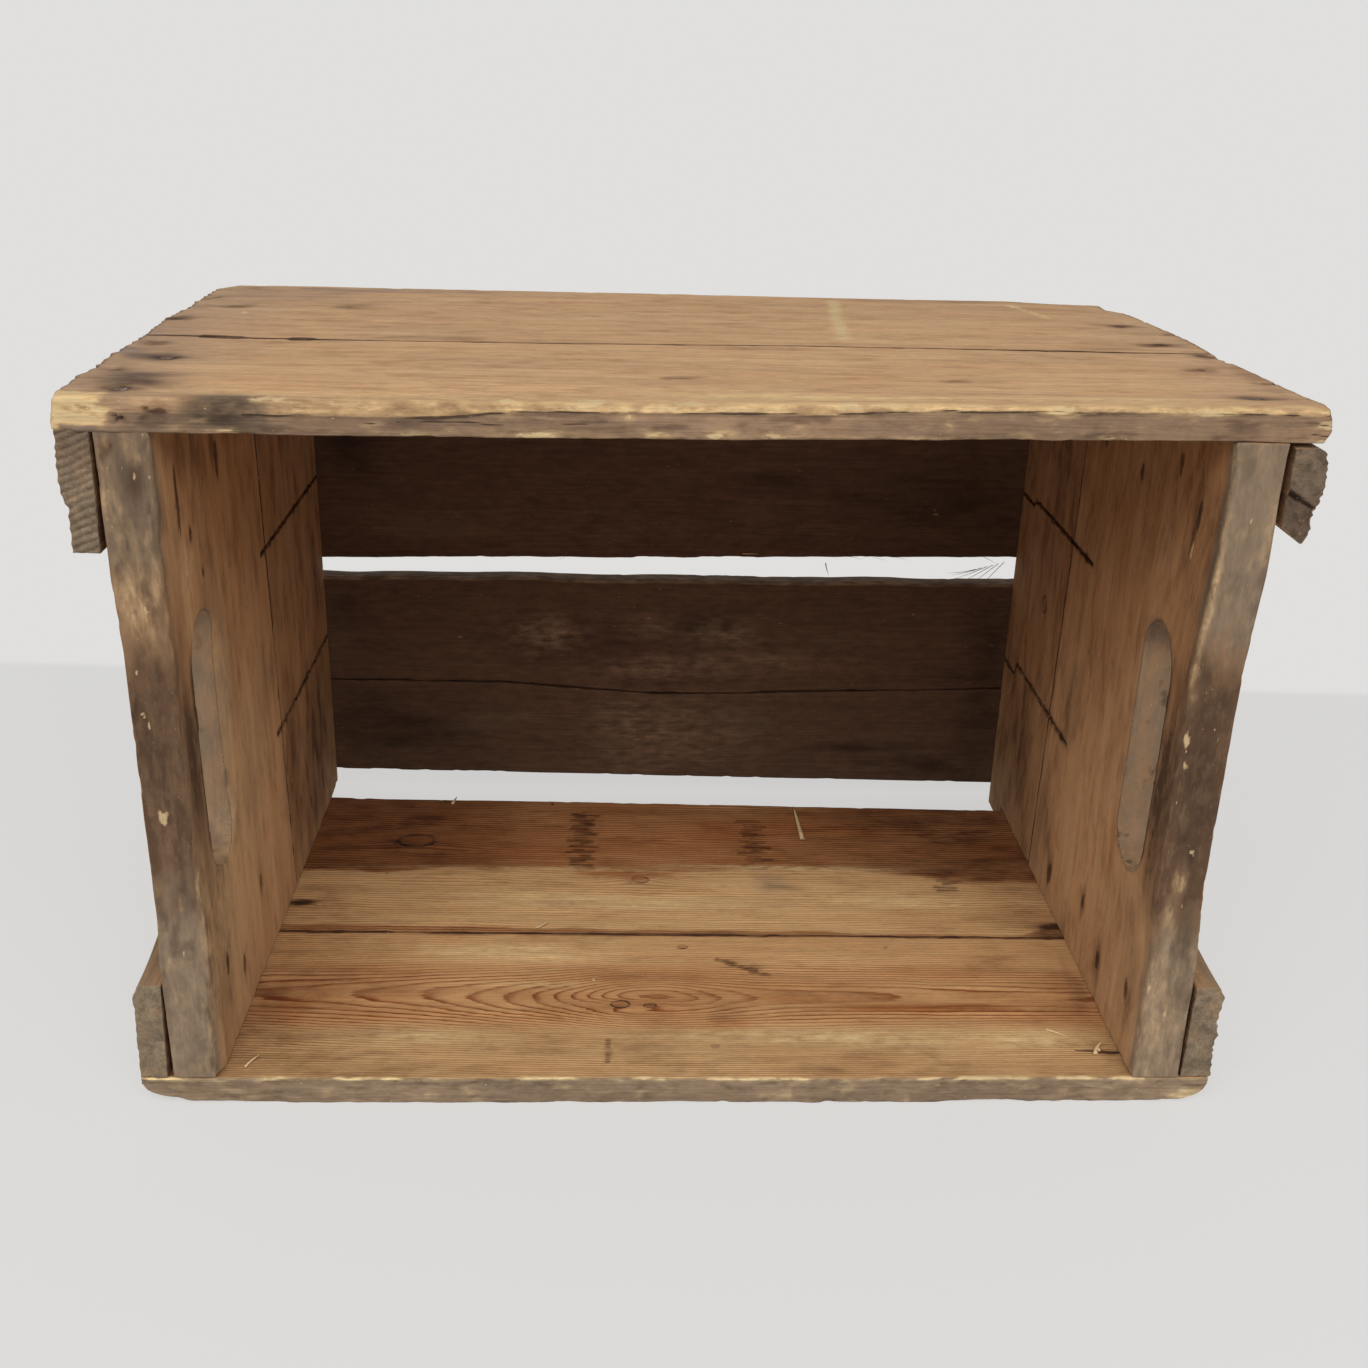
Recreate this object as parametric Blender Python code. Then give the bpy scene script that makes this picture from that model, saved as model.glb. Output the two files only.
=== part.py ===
"""A nailed softwood bottle crate, lying on one long side with its open top towards -Y.

Two thick ends, each of two boards edge to edge, carry a hand hole and two saw kerfs for the
bottle dividers. Thin boards nailed over their long edges make the two sides, three slats
nailed over their back edges make the base, and four cleats stiffen the corners outside.
Metres, +Z up. X runs along the crate, -Y is the rim (the open top), +Y the base.
The origin is under the middle of the crate, on the surface that it lies on.
"""

import math

import bmesh
import bpy
from mathutils import Vector

# --- Driving sizes -----------------------------------------------------------------------
INNER_LENGTH = 0.394  # between the two ends: four bottles in a row
END_HEIGHT = 0.2815  # length of an end's boards, from side to side: three bottles
END_DEPTH = 0.285  # an end from its rim to the base slats
END_THICK = 0.0206
END_SEAM = 0.0005  # joint between the two boards of an end
LEFT_RIM_WIDTH = 0.1560  # middle width of the left end's rim board
RIGHT_RIM_WIDTH = 0.1830
RIM_BOARD_TAPER = 0.0100  # an end's rim board is this much narrower at its upper end

SIDE_THICK = 0.013
SIDE_DEPTH = 0.2553  # both boards of a side, from the rim
UPPER_RIM_WIDTH = 0.1120  # width of the rim board of the upper side
LOWER_RIM_WIDTH = 0.1160
SIDE_SEAM = 0.0008

SLAT_THICK = 0.011
LOWER_SLAT_INSET = 0.0050  # from the lower edge of the ends to the lower slat
LOWER_SLAT_WIDTH = 0.0575
SLAT_SEAM = 0.0006  # joint between the middle and the lower slat
MIDDLE_SLAT_WIDTH = 0.0660
SLAT_GAP = 0.0144  # open gap above the middle slat; the upper slat covers the rest

CLEAT_THICK = 0.0131
CLEAT_WIDTH = 0.0465
CLEAT_GAP = 0.0008  # shrinkage gap between a cleat and its end

HAND_HOLE_LENGTH = 0.1140
HAND_HOLE_WIDTH = 0.0380
HAND_HOLE_INSET = 0.0220  # from the rim to the hole
HAND_HOLE_EASE = 0.0025  # chamfer round both mouths of the hole

KERF_WIDTH = 0.0030
KERF_DEPTH = 0.0060
KERF_LENGTH = 0.1345  # from the base edge towards the rim
KERF_RUN_OUT = 0.0200  # where the round saw leaves the wood
KERF_COUNT = 2  # they part an end into equal bottle rows

LOWER_WEAR = (0.026, 0.009)  # length and depth worn off under the ends of the lower boards
UPPER_WEAR = (0.005, 0.004)
ARRIS = 0.0008  # softened edge of every board

SPLIT_LENGTH = 0.095  # how far the upper right cleat is broken, from the rim
BREAK_RISE_INNER = 0.0170  # height lost at the cleat's inner face
BREAK_RISE_TIP = 0.0095
BREAK_RISE_OUTER = 0.0220
BREAK_TIP_OUT = 0.0095  # where the lowest point of the break lies across the cleat
SPLIT_WIDTH = 0.0012
SPLIT_LOW = 0.0215  # height of the split at the outer face
SPLIT_HIGH = 0.0305  # and at the inner face

LONG_NAIL = 0.0450  # length under the head
SHORT_NAIL = 0.0300
NAIL_RADIUS = 0.00125
HEAD_RADIUS = 0.0030
HEAD_THICK = 0.0010
HEAD_SET = 0.0002  # how far a head is driven below the surface
POINT_LENGTH = 0.0040
ROUND_STEPS = 8

# The nails are driven by hand, so no two rows of them are alike.
END_NAIL_LINE = 0.0130  # from the inner face of an end
SIDE_NAIL_EDGES = {  # from the rim-side and the base-side edge of a side board
    ("left", "rim"): (0.0190, 0.0390),
    ("left", "base"): (0.0240, 0.0600),
    ("right", "rim"): (0.0280, 0.0300),
    ("right", "base"): (0.0260, 0.0640),
}
CLEAT_NAIL_EDGE = 0.0515  # from the rim-side edge of a side board
WIDE_SLAT_NAIL_EDGE = 0.028
SLAT_NAIL_EDGE = 0.014
INNER_NAILS = {  # from the rim, and from the middle of the cleat upwards
    ("upper", "left"): ((0.0250, -0.0050), (0.0850, -0.0110)),
    ("upper", "right"): ((0.0420, -0.0085), (0.0900, -0.0135)),
    ("lower", "left"): ((0.0555, 0.0010), (0.2150, -0.0020)),
    ("lower", "right"): ((0.0600, -0.0010), (0.1490, -0.0040)),
}

SEAT = 0.0003  # clearance between pieces that touch
OVERCUT = 0.0020  # how far a cutter runs past a face

# --- Places that follow from them --------------------------------------------------------
RIM = -(END_DEPTH + SEAT + SLAT_THICK) / 2
BASE = RIM + END_DEPTH
END_LOW = SIDE_THICK + SEAT
END_HIGH = END_LOW + END_HEIGHT
TOP = END_HIGH + SEAT + SIDE_THICK
END_IN = INNER_LENGTH / 2
END_OUT = END_IN + END_THICK
CLEAT_IN = END_OUT + CLEAT_GAP
CLEAT_OUT = CLEAT_IN + CLEAT_THICK
SLAT_FRONT = BASE + SEAT
HOLE_MIDDLE = (END_LOW + END_HIGH) / 2
SIDES = {"left": -1, "right": 1}

COLOURS = {
    "side_wood": (0.42, 0.27, 0.15),
    "end_wood": (0.33, 0.20, 0.11),
    "slat_wood": (0.09, 0.05, 0.035),
    "cleat_wood": (0.26, 0.21, 0.15),
    "nail_steel": (0.14, 0.08, 0.06),
}
METALS = {"nail_steel"}


# --- Materials and objects ---------------------------------------------------------------
def material(name):
    """The named finish, made once."""
    found = bpy.data.materials.get(name)
    if found:
        return found
    made = bpy.data.materials.new(name)
    made.use_nodes = True
    shader = made.node_tree.nodes["Principled BSDF"]
    shader.inputs["Base Color"].default_value = (*COLOURS[name], 1.0)
    shader.inputs["Roughness"].default_value = 0.6 if name in METALS else 0.85
    shader.inputs["Metallic"].default_value = 1.0 if name in METALS else 0.0
    return made


def place(name, mesh, location=(0, 0, 0), finish=None):
    """A new object with this mesh."""
    obj = bpy.data.objects.new(name, mesh)
    obj.location = location
    bpy.context.scene.collection.objects.link(obj)
    if finish and not mesh.materials:
        mesh.materials.append(material(finish))
    return obj


def mesh_from(bm, name):
    """The bmesh as mesh data, with its normals made to point out."""
    bmesh.ops.recalc_face_normals(bm, faces=bm.faces)
    mesh = bpy.data.meshes.new(name)
    bm.to_mesh(mesh)
    bm.free()
    return mesh


def prism(name, outline, axis, low, high):
    """A closed mesh: a flat outline carried along an axis from low to high.

    The outline's points hold the two other coordinates, in X, Y, Z order.
    """
    bm = bmesh.new()

    def corner(point, depth):
        values = list(point)
        values.insert(axis, depth)
        return bm.verts.new(values)

    face = bm.faces.new([corner(p, low) for p in outline])
    grown = bmesh.ops.extrude_face_region(bm, geom=[face])
    shift = Vector((0, 0, 0))
    shift[axis] = high - low
    moved = [v for v in grown["geom"] if isinstance(v, bmesh.types.BMVert)]
    bmesh.ops.translate(bm, vec=shift, verts=moved)
    return mesh_from(bm, name)


def soften(obj, width=ARRIS):
    """Rounds every sharp edge of a board a little."""
    bevel = obj.modifiers.new("arris", "BEVEL")
    bevel.width = width
    bevel.segments = 2
    bevel.limit_method = "ANGLE"
    bevel.angle_limit = math.radians(40)


class Board:
    """A board and the cutters that are taken from it."""

    def __init__(self, name, mesh, finish):
        self.obj = place(name, mesh, finish=finish)
        soften(self.obj)
        self.cutters = bpy.data.collections.new("cuts_in_" + name)
        bpy.context.scene.collection.children.link(self.cutters)

    def cut(self, cutter):
        self.cutters.objects.link(cutter)

    def finish(self):
        if self.cutters.objects:
            boolean = self.obj.modifiers.new("cuts", "BOOLEAN")
            boolean.operation = "DIFFERENCE"
            boolean.solver = "EXACT"
            boolean.operand_type = "COLLECTION"
            boolean.collection = self.cutters


def cutter_object(name, mesh, location=(0, 0, 0)):
    """A helper that only cuts, and is never rendered."""
    obj = place(name, mesh, location)
    bpy.context.scene.collection.objects.unlink(obj)
    obj.hide_render = True
    obj.display_type = "WIRE"
    return obj


# --- Side boards -------------------------------------------------------------------------
def worn_depth(x, wear):
    """How much is worn off the outer face at x: a quarter ellipse at each end of a board."""
    length, depth = wear
    share = (abs(x) - (CLEAT_OUT - length)) / length
    share = min(max(share, 0.0), 1.0)
    return depth * (1 - math.sqrt(1 - share * share))


def side_outline(outer, inner, wear):
    """A side board seen from the rim, in X and Z: flat inside, worn at its outer ends."""
    inward = 1 if inner > outer else -1
    steps = ROUND_STEPS
    length = wear[0]
    points = []
    for step in range(steps + 1):
        x = CLEAT_OUT - length + length * math.sin(step / steps * math.pi / 2)
        points.append((x, outer + inward * worn_depth(x, wear)))
    points.append((CLEAT_OUT, inner))
    mirrored = [(-x, z) for x, z in reversed(points)]
    return points + mirrored


def side_boards():
    """The four side boards, upper and lower, from the rim to short of the base."""
    levels = {
        "upper": (TOP, END_HIGH + SEAT, UPPER_WEAR, UPPER_RIM_WIDTH),
        "lower": (0.0, SIDE_THICK, LOWER_WEAR, LOWER_RIM_WIDTH),
    }
    made = {}
    for level, (outer, inner, wear, rim_width) in levels.items():
        joint = RIM + rim_width
        spans = {"rim": (RIM, joint), "base": (joint + SIDE_SEAM, RIM + SIDE_DEPTH)}
        for place_name, (front, back) in spans.items():
            name = f"{level}_side_{place_name}_board"
            mesh = prism(name, side_outline(outer, inner, wear), 1, front, back)
            made[level, place_name] = (Board(name, mesh, "side_wood"), front, back)
    return made


# --- Ends --------------------------------------------------------------------------------
def box_outline(low, high):
    return [(low[0], low[1]), (high[0], low[1]), (high[0], high[1]), (low[0], high[1])]


def stadium(grow):
    """Outline of the hand hole in Y and Z, made larger all round by grow."""
    radius = HAND_HOLE_WIDTH / 2
    middle_y = RIM + HAND_HOLE_INSET + radius
    reach = HAND_HOLE_LENGTH / 2 - radius
    steps = ROUND_STEPS
    points = []
    for centre_z, start in ((HOLE_MIDDLE + reach, 0.0), (HOLE_MIDDLE - reach, math.pi)):
        for step in range(steps + 1):
            turn = start + math.pi * step / steps
            points.append(
                (
                    middle_y + (radius + grow) * math.cos(turn),
                    centre_z + (radius + grow) * math.sin(turn),
                )
            )
    return points


def hand_hole_cutter(name, side):
    """The hand hole, flared at both mouths of the end board."""
    stations = (
        (END_IN - OVERCUT, HAND_HOLE_EASE + OVERCUT),
        (END_IN + HAND_HOLE_EASE, 0.0),
        (END_OUT - HAND_HOLE_EASE, 0.0),
        (END_OUT + OVERCUT, HAND_HOLE_EASE + OVERCUT),
    )
    bm = bmesh.new()
    rings = []
    for x, grow in stations:
        rings.append([bm.verts.new((side * x, y, z)) for y, z in stadium(grow)])
    for ring, following in zip(rings, rings[1:]):
        for i in range(len(ring)):
            j = (i + 1) % len(ring)
            bm.faces.new((ring[i], ring[j], following[j], following[i]))
    bm.faces.new(rings[0])
    bm.faces.new(rings[-1])
    return cutter_object(name, mesh_from(bm, name))


def kerf_cutter(name, side, height):
    """A divider kerf in the inner face of an end, rising out of the wood towards the rim."""
    start = BASE - KERF_LENGTH
    outline = [(side * (END_IN - OVERCUT), start), (side * END_IN, start)]
    steps = ROUND_STEPS // 2
    for step in range(1, steps + 1):
        turn = step / steps * math.pi / 2
        depth = KERF_DEPTH * math.sin(turn)
        outline.append((side * (END_IN + depth), start + KERF_RUN_OUT * (1 - math.cos(turn))))
    outline.append((side * (END_IN + KERF_DEPTH), BASE + OVERCUT))
    outline.append((side * (END_IN - OVERCUT), BASE + OVERCUT))
    mesh = prism(name, outline, 2, height - KERF_WIDTH / 2, height + KERF_WIDTH / 2)
    return cutter_object(name, mesh)


def joint_at(label, z):
    """How deep the leaning joint of an end lies at this height."""
    middle = RIM + (LEFT_RIM_WIDTH if label == "left" else RIGHT_RIM_WIDTH)
    return middle - RIM_BOARD_TAPER * ((z - END_LOW) / END_HEIGHT - 0.5)


def end_board_outlines(label):
    """The two boards of an end seen from its side, in Y and Z."""
    low, high = joint_at(label, END_LOW), joint_at(label, END_HIGH)
    rim = [(RIM, END_LOW), (low, END_LOW), (high, END_HIGH), (RIM, END_HIGH)]
    base = [
        (low + END_SEAM, END_LOW),
        (BASE, END_LOW),
        (BASE, END_HIGH),
        (high + END_SEAM, END_HIGH),
    ]
    return {"rim": rim, "base": base}


def end_boards():
    """The two boards of each end, with their hand hole and divider kerfs."""
    made = {}
    for label, side in SIDES.items():
        x_low, x_high = sorted((side * END_IN, side * END_OUT))
        for place_name, outline in end_board_outlines(label).items():
            name = f"{label}_end_{place_name}_board"
            mesh = prism(name, outline, 0, x_low, x_high)
            made[label, place_name] = Board(name, mesh, "end_wood")
        made[label, "rim"].cut(hand_hole_cutter(f"hand_hole_{label}", side))
        for row in range(1, KERF_COUNT + 1):
            height = END_LOW + END_HEIGHT * row / (KERF_COUNT + 1)
            cutter = kerf_cutter(f"kerf_{label}_{row}", side, height)
            made[label, "base"].cut(cutter)
            made[label, "rim"].cut(cutter)
    return made


# --- Base slats --------------------------------------------------------------------------
def base_slats():
    """Three slats over the back edges of the ends, with one open gap under the upper one."""
    lower = END_LOW + LOWER_SLAT_INSET
    middle = lower + LOWER_SLAT_WIDTH + SLAT_SEAM
    upper = middle + MIDDLE_SLAT_WIDTH + SLAT_GAP
    rows = {
        "upper": (upper, END_HIGH - upper, WIDE_SLAT_NAIL_EDGE),
        "middle": (middle, MIDDLE_SLAT_WIDTH, SLAT_NAIL_EDGE),
        "lower": (lower, LOWER_SLAT_WIDTH, SLAT_NAIL_EDGE),
    }
    made = {}
    for row, (low, width, edge) in rows.items():
        name = f"base_slat_{row}"
        outline = box_outline((-CLEAT_OUT, SLAT_FRONT), (CLEAT_OUT, SLAT_FRONT + SLAT_THICK))
        board = Board(name, prism(name, outline, 2, low, low + width), "slat_wood")
        made[row] = (board, (low + edge, low + width - edge))
    return made


# --- Cleats ------------------------------------------------------------------------------
def lofted(name, stations):
    """A closed mesh through outlines of X and Z points, one at each Y."""
    bm = bmesh.new()
    rings = [[bm.verts.new((x, y, z)) for x, z in outline] for y, outline in stations]
    for ring, following in zip(rings, rings[1:]):
        for i in range(len(ring)):
            j = (i + 1) % len(ring)
            bm.faces.new((ring[i], ring[j], following[j], following[i]))
    bm.faces.new(rings[0])
    bm.faces.new(rings[-1])
    bmesh.ops.triangulate(bm, faces=bm.faces)
    return mesh_from(bm, name)


def broken_cleat_mesh(name, low):
    """The upper right cleat, whose lower edge is broken off near the rim."""
    high = low + CLEAT_WIDTH

    def outline(share):
        return [
            (CLEAT_IN, low + BREAK_RISE_INNER * share),
            (CLEAT_IN + BREAK_TIP_OUT, low + BREAK_RISE_TIP * share),
            (CLEAT_OUT, low + BREAK_RISE_OUTER * share),
            (CLEAT_OUT, high),
            (CLEAT_IN, high),
        ]

    return lofted(name, ((RIM, outline(1.0)), (RIM + SPLIT_LENGTH, outline(0.0)), (BASE, outline(0.0))))


def split_cutter(low):
    """A thin wedge: the split that opens from the rim across the broken cleat."""
    half = SPLIT_WIDTH / 2
    rise = SPLIT_HIGH - SPLIT_LOW
    slope = rise / CLEAT_THICK
    inner, outer = CLEAT_IN - OVERCUT, CLEAT_OUT + OVERCUT
    at_inner = low + SPLIT_HIGH + slope * OVERCUT
    at_outer = low + SPLIT_LOW - slope * OVERCUT
    front, back = RIM - OVERCUT, RIM + SPLIT_LENGTH * 0.8
    bm = bmesh.new()
    mouth = [
        bm.verts.new((inner, front, at_inner - half)),
        bm.verts.new((outer, front, at_outer - half)),
        bm.verts.new((outer, front, at_outer + half)),
        bm.verts.new((inner, front, at_inner + half)),
    ]
    root = [bm.verts.new((inner, back, at_inner)), bm.verts.new((outer, back, at_outer))]
    bm.faces.new(mouth)
    bm.faces.new((mouth[0], mouth[3], root[0]))
    bm.faces.new((mouth[1], root[1], mouth[2]))
    bm.faces.new((mouth[0], root[0], root[1], mouth[1]))
    bm.faces.new((mouth[2], root[1], root[0], mouth[3]))
    return cutter_object("split", mesh_from(bm, "split"))


def cleat_low(level):
    """Height of a cleat's lower edge."""
    return END_HIGH - CLEAT_WIDTH if level == "upper" else END_LOW


def cleats():
    """The four cleats outside the ends, along the side boards."""
    made = {}
    for level in ("upper", "lower"):
        low = cleat_low(level)
        for label, side in SIDES.items():
            name = f"{level}_{label}_cleat"
            if (level, label) == ("upper", "right"):
                mesh = broken_cleat_mesh(name, low)
            else:
                x_low, x_high = sorted((side * CLEAT_IN, side * CLEAT_OUT))
                outline = box_outline((x_low, RIM), (x_high, BASE))
                mesh = prism(name, outline, 2, low, low + CLEAT_WIDTH)
            made[level, label] = Board(name, mesh, "cleat_wood")
    made["upper", "right"].cut(split_cutter(cleat_low("upper")))
    return made


# --- Nails -------------------------------------------------------------------------------
def lathe_mesh(name, profile):
    """A closed turned mesh about Z from (radius, height) points that start and end on it."""
    bm = bmesh.new()
    points = [bm.verts.new((radius, 0, height)) for radius, height in profile]
    edges = [bm.edges.new(pair) for pair in zip(points, points[1:])]
    bmesh.ops.spin(
        bm,
        geom=points + edges,
        axis=(0, 0, 1),
        cent=(0, 0, 0),
        steps=ROUND_STEPS,
        angle=2 * math.pi,
        use_merge=True,
    )
    bmesh.ops.remove_doubles(bm, verts=bm.verts, dist=1e-6)
    return mesh_from(bm, name)


def nail_profile(length, grow=0.0, rise=0.0):
    """Head, shank and point, downwards from the head's top; grown all round for a hole."""
    shank = NAIL_RADIUS + grow
    head_bottom = -HEAD_THICK - grow
    tip = head_bottom - length
    return [
        (0.0, rise),
        (HEAD_RADIUS + grow, rise),
        (HEAD_RADIUS + grow, head_bottom),
        (shank, head_bottom),
        (shank, tip + POINT_LENGTH),
        (0.0, tip),
    ]


class Nails:
    """Drives nails: each is its own object, and its hole is cut from every board it meets."""

    def __init__(self):
        self.meshes = {}

    def mesh(self, length):
        if length not in self.meshes:
            label = f"nail_{round(length * 1000)}mm"
            nail = lathe_mesh(label, nail_profile(length))
            nail.materials.append(material("nail_steel"))
            hole = lathe_mesh(label + "_hole", nail_profile(length, SEAT, OVERCUT + LOWER_WEAR[1]))
            self.meshes[length] = (nail, hole)
        return self.meshes[length]

    def drive(self, name, surface_point, direction, length, boards, sunk=0.0):
        """surface_point is on the board's face; sunk is the wear to go below it."""
        nail, hole = self.mesh(length)
        way = Vector(direction)
        at = Vector(surface_point) + way * (HEAD_SET + sunk)
        turn = way.to_track_quat("-Z", "Y").to_euler()
        place(name, nail, at).rotation_euler = turn
        cutter = cutter_object("hole_of_" + name, hole, at)
        cutter.rotation_euler = turn
        for board in boards:
            board.cut(cutter)


def both_boards(ends, label):
    """The boards of an end: a nail close to their joint may bite into both."""
    return ends[label, "rim"], ends[label, "base"]


def nail_sides(nails, sides, ends, corner_cleats):
    """Two nails from every side board into each end, and one into each cleat."""
    outer_faces = {"upper": (TOP, -1, UPPER_WEAR), "lower": (0.0, 1, LOWER_WEAR)}
    end_line = END_IN + END_NAIL_LINE
    cleat_middle = (CLEAT_IN + CLEAT_OUT) / 2
    for (level, place_name), (board, front, back) in sides.items():
        z, inward, wear = outer_faces[level]
        for label, side in SIDES.items():
            stem = f"nail_{level}_side_{place_name}_{label}"
            rim_edge, base_edge = SIDE_NAIL_EDGES[label, place_name]
            for number, y in enumerate((front + rim_edge, back - base_edge), 1):
                nails.drive(
                    f"{stem}_{number}",
                    (side * end_line, y, z),
                    (0, 0, inward),
                    LONG_NAIL,
                    (board, *both_boards(ends, label)),
                    worn_depth(end_line, wear),
                )
            nails.drive(
                f"{stem}_cleat",
                (side * cleat_middle, front + CLEAT_NAIL_EDGE, z),
                (0, 0, inward),
                SHORT_NAIL,
                (board, corner_cleats[level, label]),
                worn_depth(cleat_middle, wear),
            )


def nail_base(nails, slats, ends):
    """Two nails through each end of every slat into the back edge of the end."""
    end_line = END_IN + END_NAIL_LINE
    for row, (board, heights) in slats.items():
        for label, side in SIDES.items():
            for number, z in enumerate(heights, 1):
                nails.drive(
                    f"nail_base_{row}_{label}_{number}",
                    (side * end_line, SLAT_FRONT + SLAT_THICK, z),
                    (0, -1, 0),
                    LONG_NAIL,
                    (board, *both_boards(ends, label)),
                )


def nail_cleats(nails, ends, corner_cleats):
    """Two nails from inside through each end into every cleat."""
    for (level, label), places in INNER_NAILS.items():
        side = SIDES[label]
        for number, (depth, above_middle) in enumerate(places, 1):
            y = RIM + depth
            z = cleat_low(level) + CLEAT_WIDTH / 2 + above_middle
            nails.drive(
                f"nail_{level}_{label}_cleat_{number}",
                (side * END_IN, y, z),
                (side, 0, 0),
                SHORT_NAIL,
                (*both_boards(ends, label), corner_cleats[level, label]),
            )


# --- The crate ---------------------------------------------------------------------------
def main():
    for obj in list(bpy.data.objects):
        bpy.data.objects.remove(obj)
    sides = side_boards()
    ends = end_boards()
    slats = base_slats()
    corner_cleats = cleats()
    nails = Nails()
    nail_sides(nails, sides, ends, corner_cleats)
    nail_base(nails, slats, ends)
    nail_cleats(nails, ends, corner_cleats)
    boards = [board for board, *_ in [*sides.values(), *slats.values()]]
    for board in [*boards, *ends.values(), *corner_cleats.values()]:
        board.finish()


main()
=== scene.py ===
"""The looks of a nailed softwood bottle crate that lies on its side, open top to the front.

Every board starts as a block of small cells between the lowest and highest corners that the
frame gives. Warps, worn edges, chips and splits move the points of its surface, and painted
amounts of wear say where the wood is grey, dirty, stained, cracked or freshly broken. X runs
along the crate, -Y is the rim, +Z is up. Places are given in mm from the crate's middle, back
from the rim and up from the inside of the lower side.
"""

import itertools
import math

import bpy
import numpy as np
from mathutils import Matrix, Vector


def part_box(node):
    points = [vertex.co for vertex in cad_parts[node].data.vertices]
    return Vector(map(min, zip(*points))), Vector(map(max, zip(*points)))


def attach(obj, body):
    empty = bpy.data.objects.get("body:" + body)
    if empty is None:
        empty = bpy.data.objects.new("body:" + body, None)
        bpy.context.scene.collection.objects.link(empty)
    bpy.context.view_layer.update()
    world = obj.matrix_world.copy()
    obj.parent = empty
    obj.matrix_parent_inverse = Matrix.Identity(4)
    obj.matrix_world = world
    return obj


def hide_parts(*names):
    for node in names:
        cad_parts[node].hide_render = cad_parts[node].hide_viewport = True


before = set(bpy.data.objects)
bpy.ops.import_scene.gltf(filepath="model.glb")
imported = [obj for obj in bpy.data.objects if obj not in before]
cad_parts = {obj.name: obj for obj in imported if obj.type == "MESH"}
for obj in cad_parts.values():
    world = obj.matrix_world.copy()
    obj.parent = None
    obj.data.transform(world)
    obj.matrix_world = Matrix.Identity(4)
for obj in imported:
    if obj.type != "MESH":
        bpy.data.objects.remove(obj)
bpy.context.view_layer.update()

MM = 0.001
ENDLESS = 1000.0  # mm: over such a box of noise nothing changes
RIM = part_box("upper_side_rim_board")[0].y
INNER_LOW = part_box("lower_side_rim_board")[1].z
ORIGIN = np.array((0.0, RIM, INNER_LOW))
HALF_LENGTH = 231.5  # mm, of the crate
INNER_FACE, OUTER_FACE = 197, 218.4  # mm from the middle to the two faces of an end
SIDE_DEPTH = 255.3  # mm from the rim to the rear edge of a side
LEFT, RIGHT = -1, 1
SIDE_NAMES = {LEFT: "left", RIGHT: "right"}
ALONG, DEPTH, UP = 0, 1, 2  # the three axes, as the crate lies
ON_TOP, IN_FRONT, INSIDE_END = (ALONG, DEPTH), (ALONG, UP), (DEPTH, UP)  # the axes of a face


def at(x, depth, up):
    """A place in the crate, from mm to metres."""
    return ORIGIN + np.array((x, depth, up), float) * MM


# --- Numbers that vary over wood ---------------------------------------------------------
def scatter(cells, seed):
    """A repeatable number from 0 to 1 for each whole-number place, mixed from its bits."""
    i, j, k = (cells[..., n].astype(np.int64) for n in range(3))
    bits = (i * 73856093) ^ (j * 19349663) ^ (k * 83492791) ^ (seed * 40503 + 977)
    bits = (bits ^ (bits >> 13)) & 0xFFFFFFFF
    bits = (bits * 1274126177) & 0xFFFFFFFF
    return ((bits ^ (bits >> 16)) & 0xFFFF) / 65535.0


def noise(points, cell, seed):
    """Smooth noise, -1 to 1: scattered numbers at the corners of boxes of the size `cell`,
    blended between the corners along the curve t*t*(3 - 2t)."""
    place = points / np.asarray(cell)
    base = np.floor(place)
    t = place - base
    t = t * t * (3 - 2 * t)
    total = np.zeros(len(points))
    for corner in itertools.product((0, 1), repeat=3):
        weight = np.prod(np.where(corner, t, 1 - t), axis=-1)
        total += weight * scatter(base + corner, seed)
    return 2 * total - 1


def layered(points, cell, seed, layers=3):
    """Noise with finer noise on top: each layer has half the size and half the strength."""
    total = np.zeros(len(points))
    for layer in range(layers):
        total += noise(points, np.asarray(cell) / 2**layer, seed + 31 * layer) / 2**layer
    return total


def ease(value, start, stop):
    """0 before start, 1 after stop, and the curve t*t*(3 - 2t) between them."""
    t = np.clip((value - start) / (stop - start), 0, 1)
    return t * t * (3 - 2 * t)


def between(value, start, full, fall, stop):
    """1 from full to fall, 0 before start and after stop, eased in between."""
    return ease(value, start, full) * (1 - ease(value, fall, stop))


# --- Boards ------------------------------------------------------------------------------
def ruler(*runs):
    """Places along an axis. Each run is a start and a step, and the last run is only an end."""
    parts = []
    for (start, step), (stop, *_) in zip(runs, runs[1:]):
        count = max(1, round((stop - start) / step))
        parts.append(np.linspace(start, stop, count, endpoint=False))
    return np.concatenate(parts + [[runs[-1][0]]])


def even_ruler(low, high, step, edge=0.003, fine=0.0005):
    """Fine steps beside both edges and even ones between them."""
    return ruler((low, fine), (low + edge, step), (high - edge, fine), (high,))


def block_surface(rulers, wood):
    """The faces between wood and air in a block of cells: points, and faces turned outwards."""
    counts = [len(r) for r in rulers]
    filled = np.pad(wood, 1).astype(np.int8)
    turns = {-1: np.array(((0, 0), (1, 0), (1, 1), (0, 1))), 1: np.array(((0, 0), (0, 1), (1, 1), (1, 0)))}
    faces = []
    for axis in range(3):
        across, onward = (axis + 1) % 3, (axis + 2) % 3
        change = np.diff(filled, axis=axis)
        for sign, turn in turns.items():
            corners = np.repeat(np.argwhere(change == sign)[:, None, :], 4, axis=1)
            corners[:, :, across] += turn[:, 0] - 1
            corners[:, :, onward] += turn[:, 1] - 1
            faces.append(np.ravel_multi_index(np.moveaxis(corners, 2, 0), counts))
    used, numbered = np.unique(np.concatenate(faces), return_inverse=True)
    places = np.unravel_index(used, counts)
    points = np.stack([r[p] for r, p in zip(rulers, places)], axis=1)
    return points, numbered.reshape(-1, 4)


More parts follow.
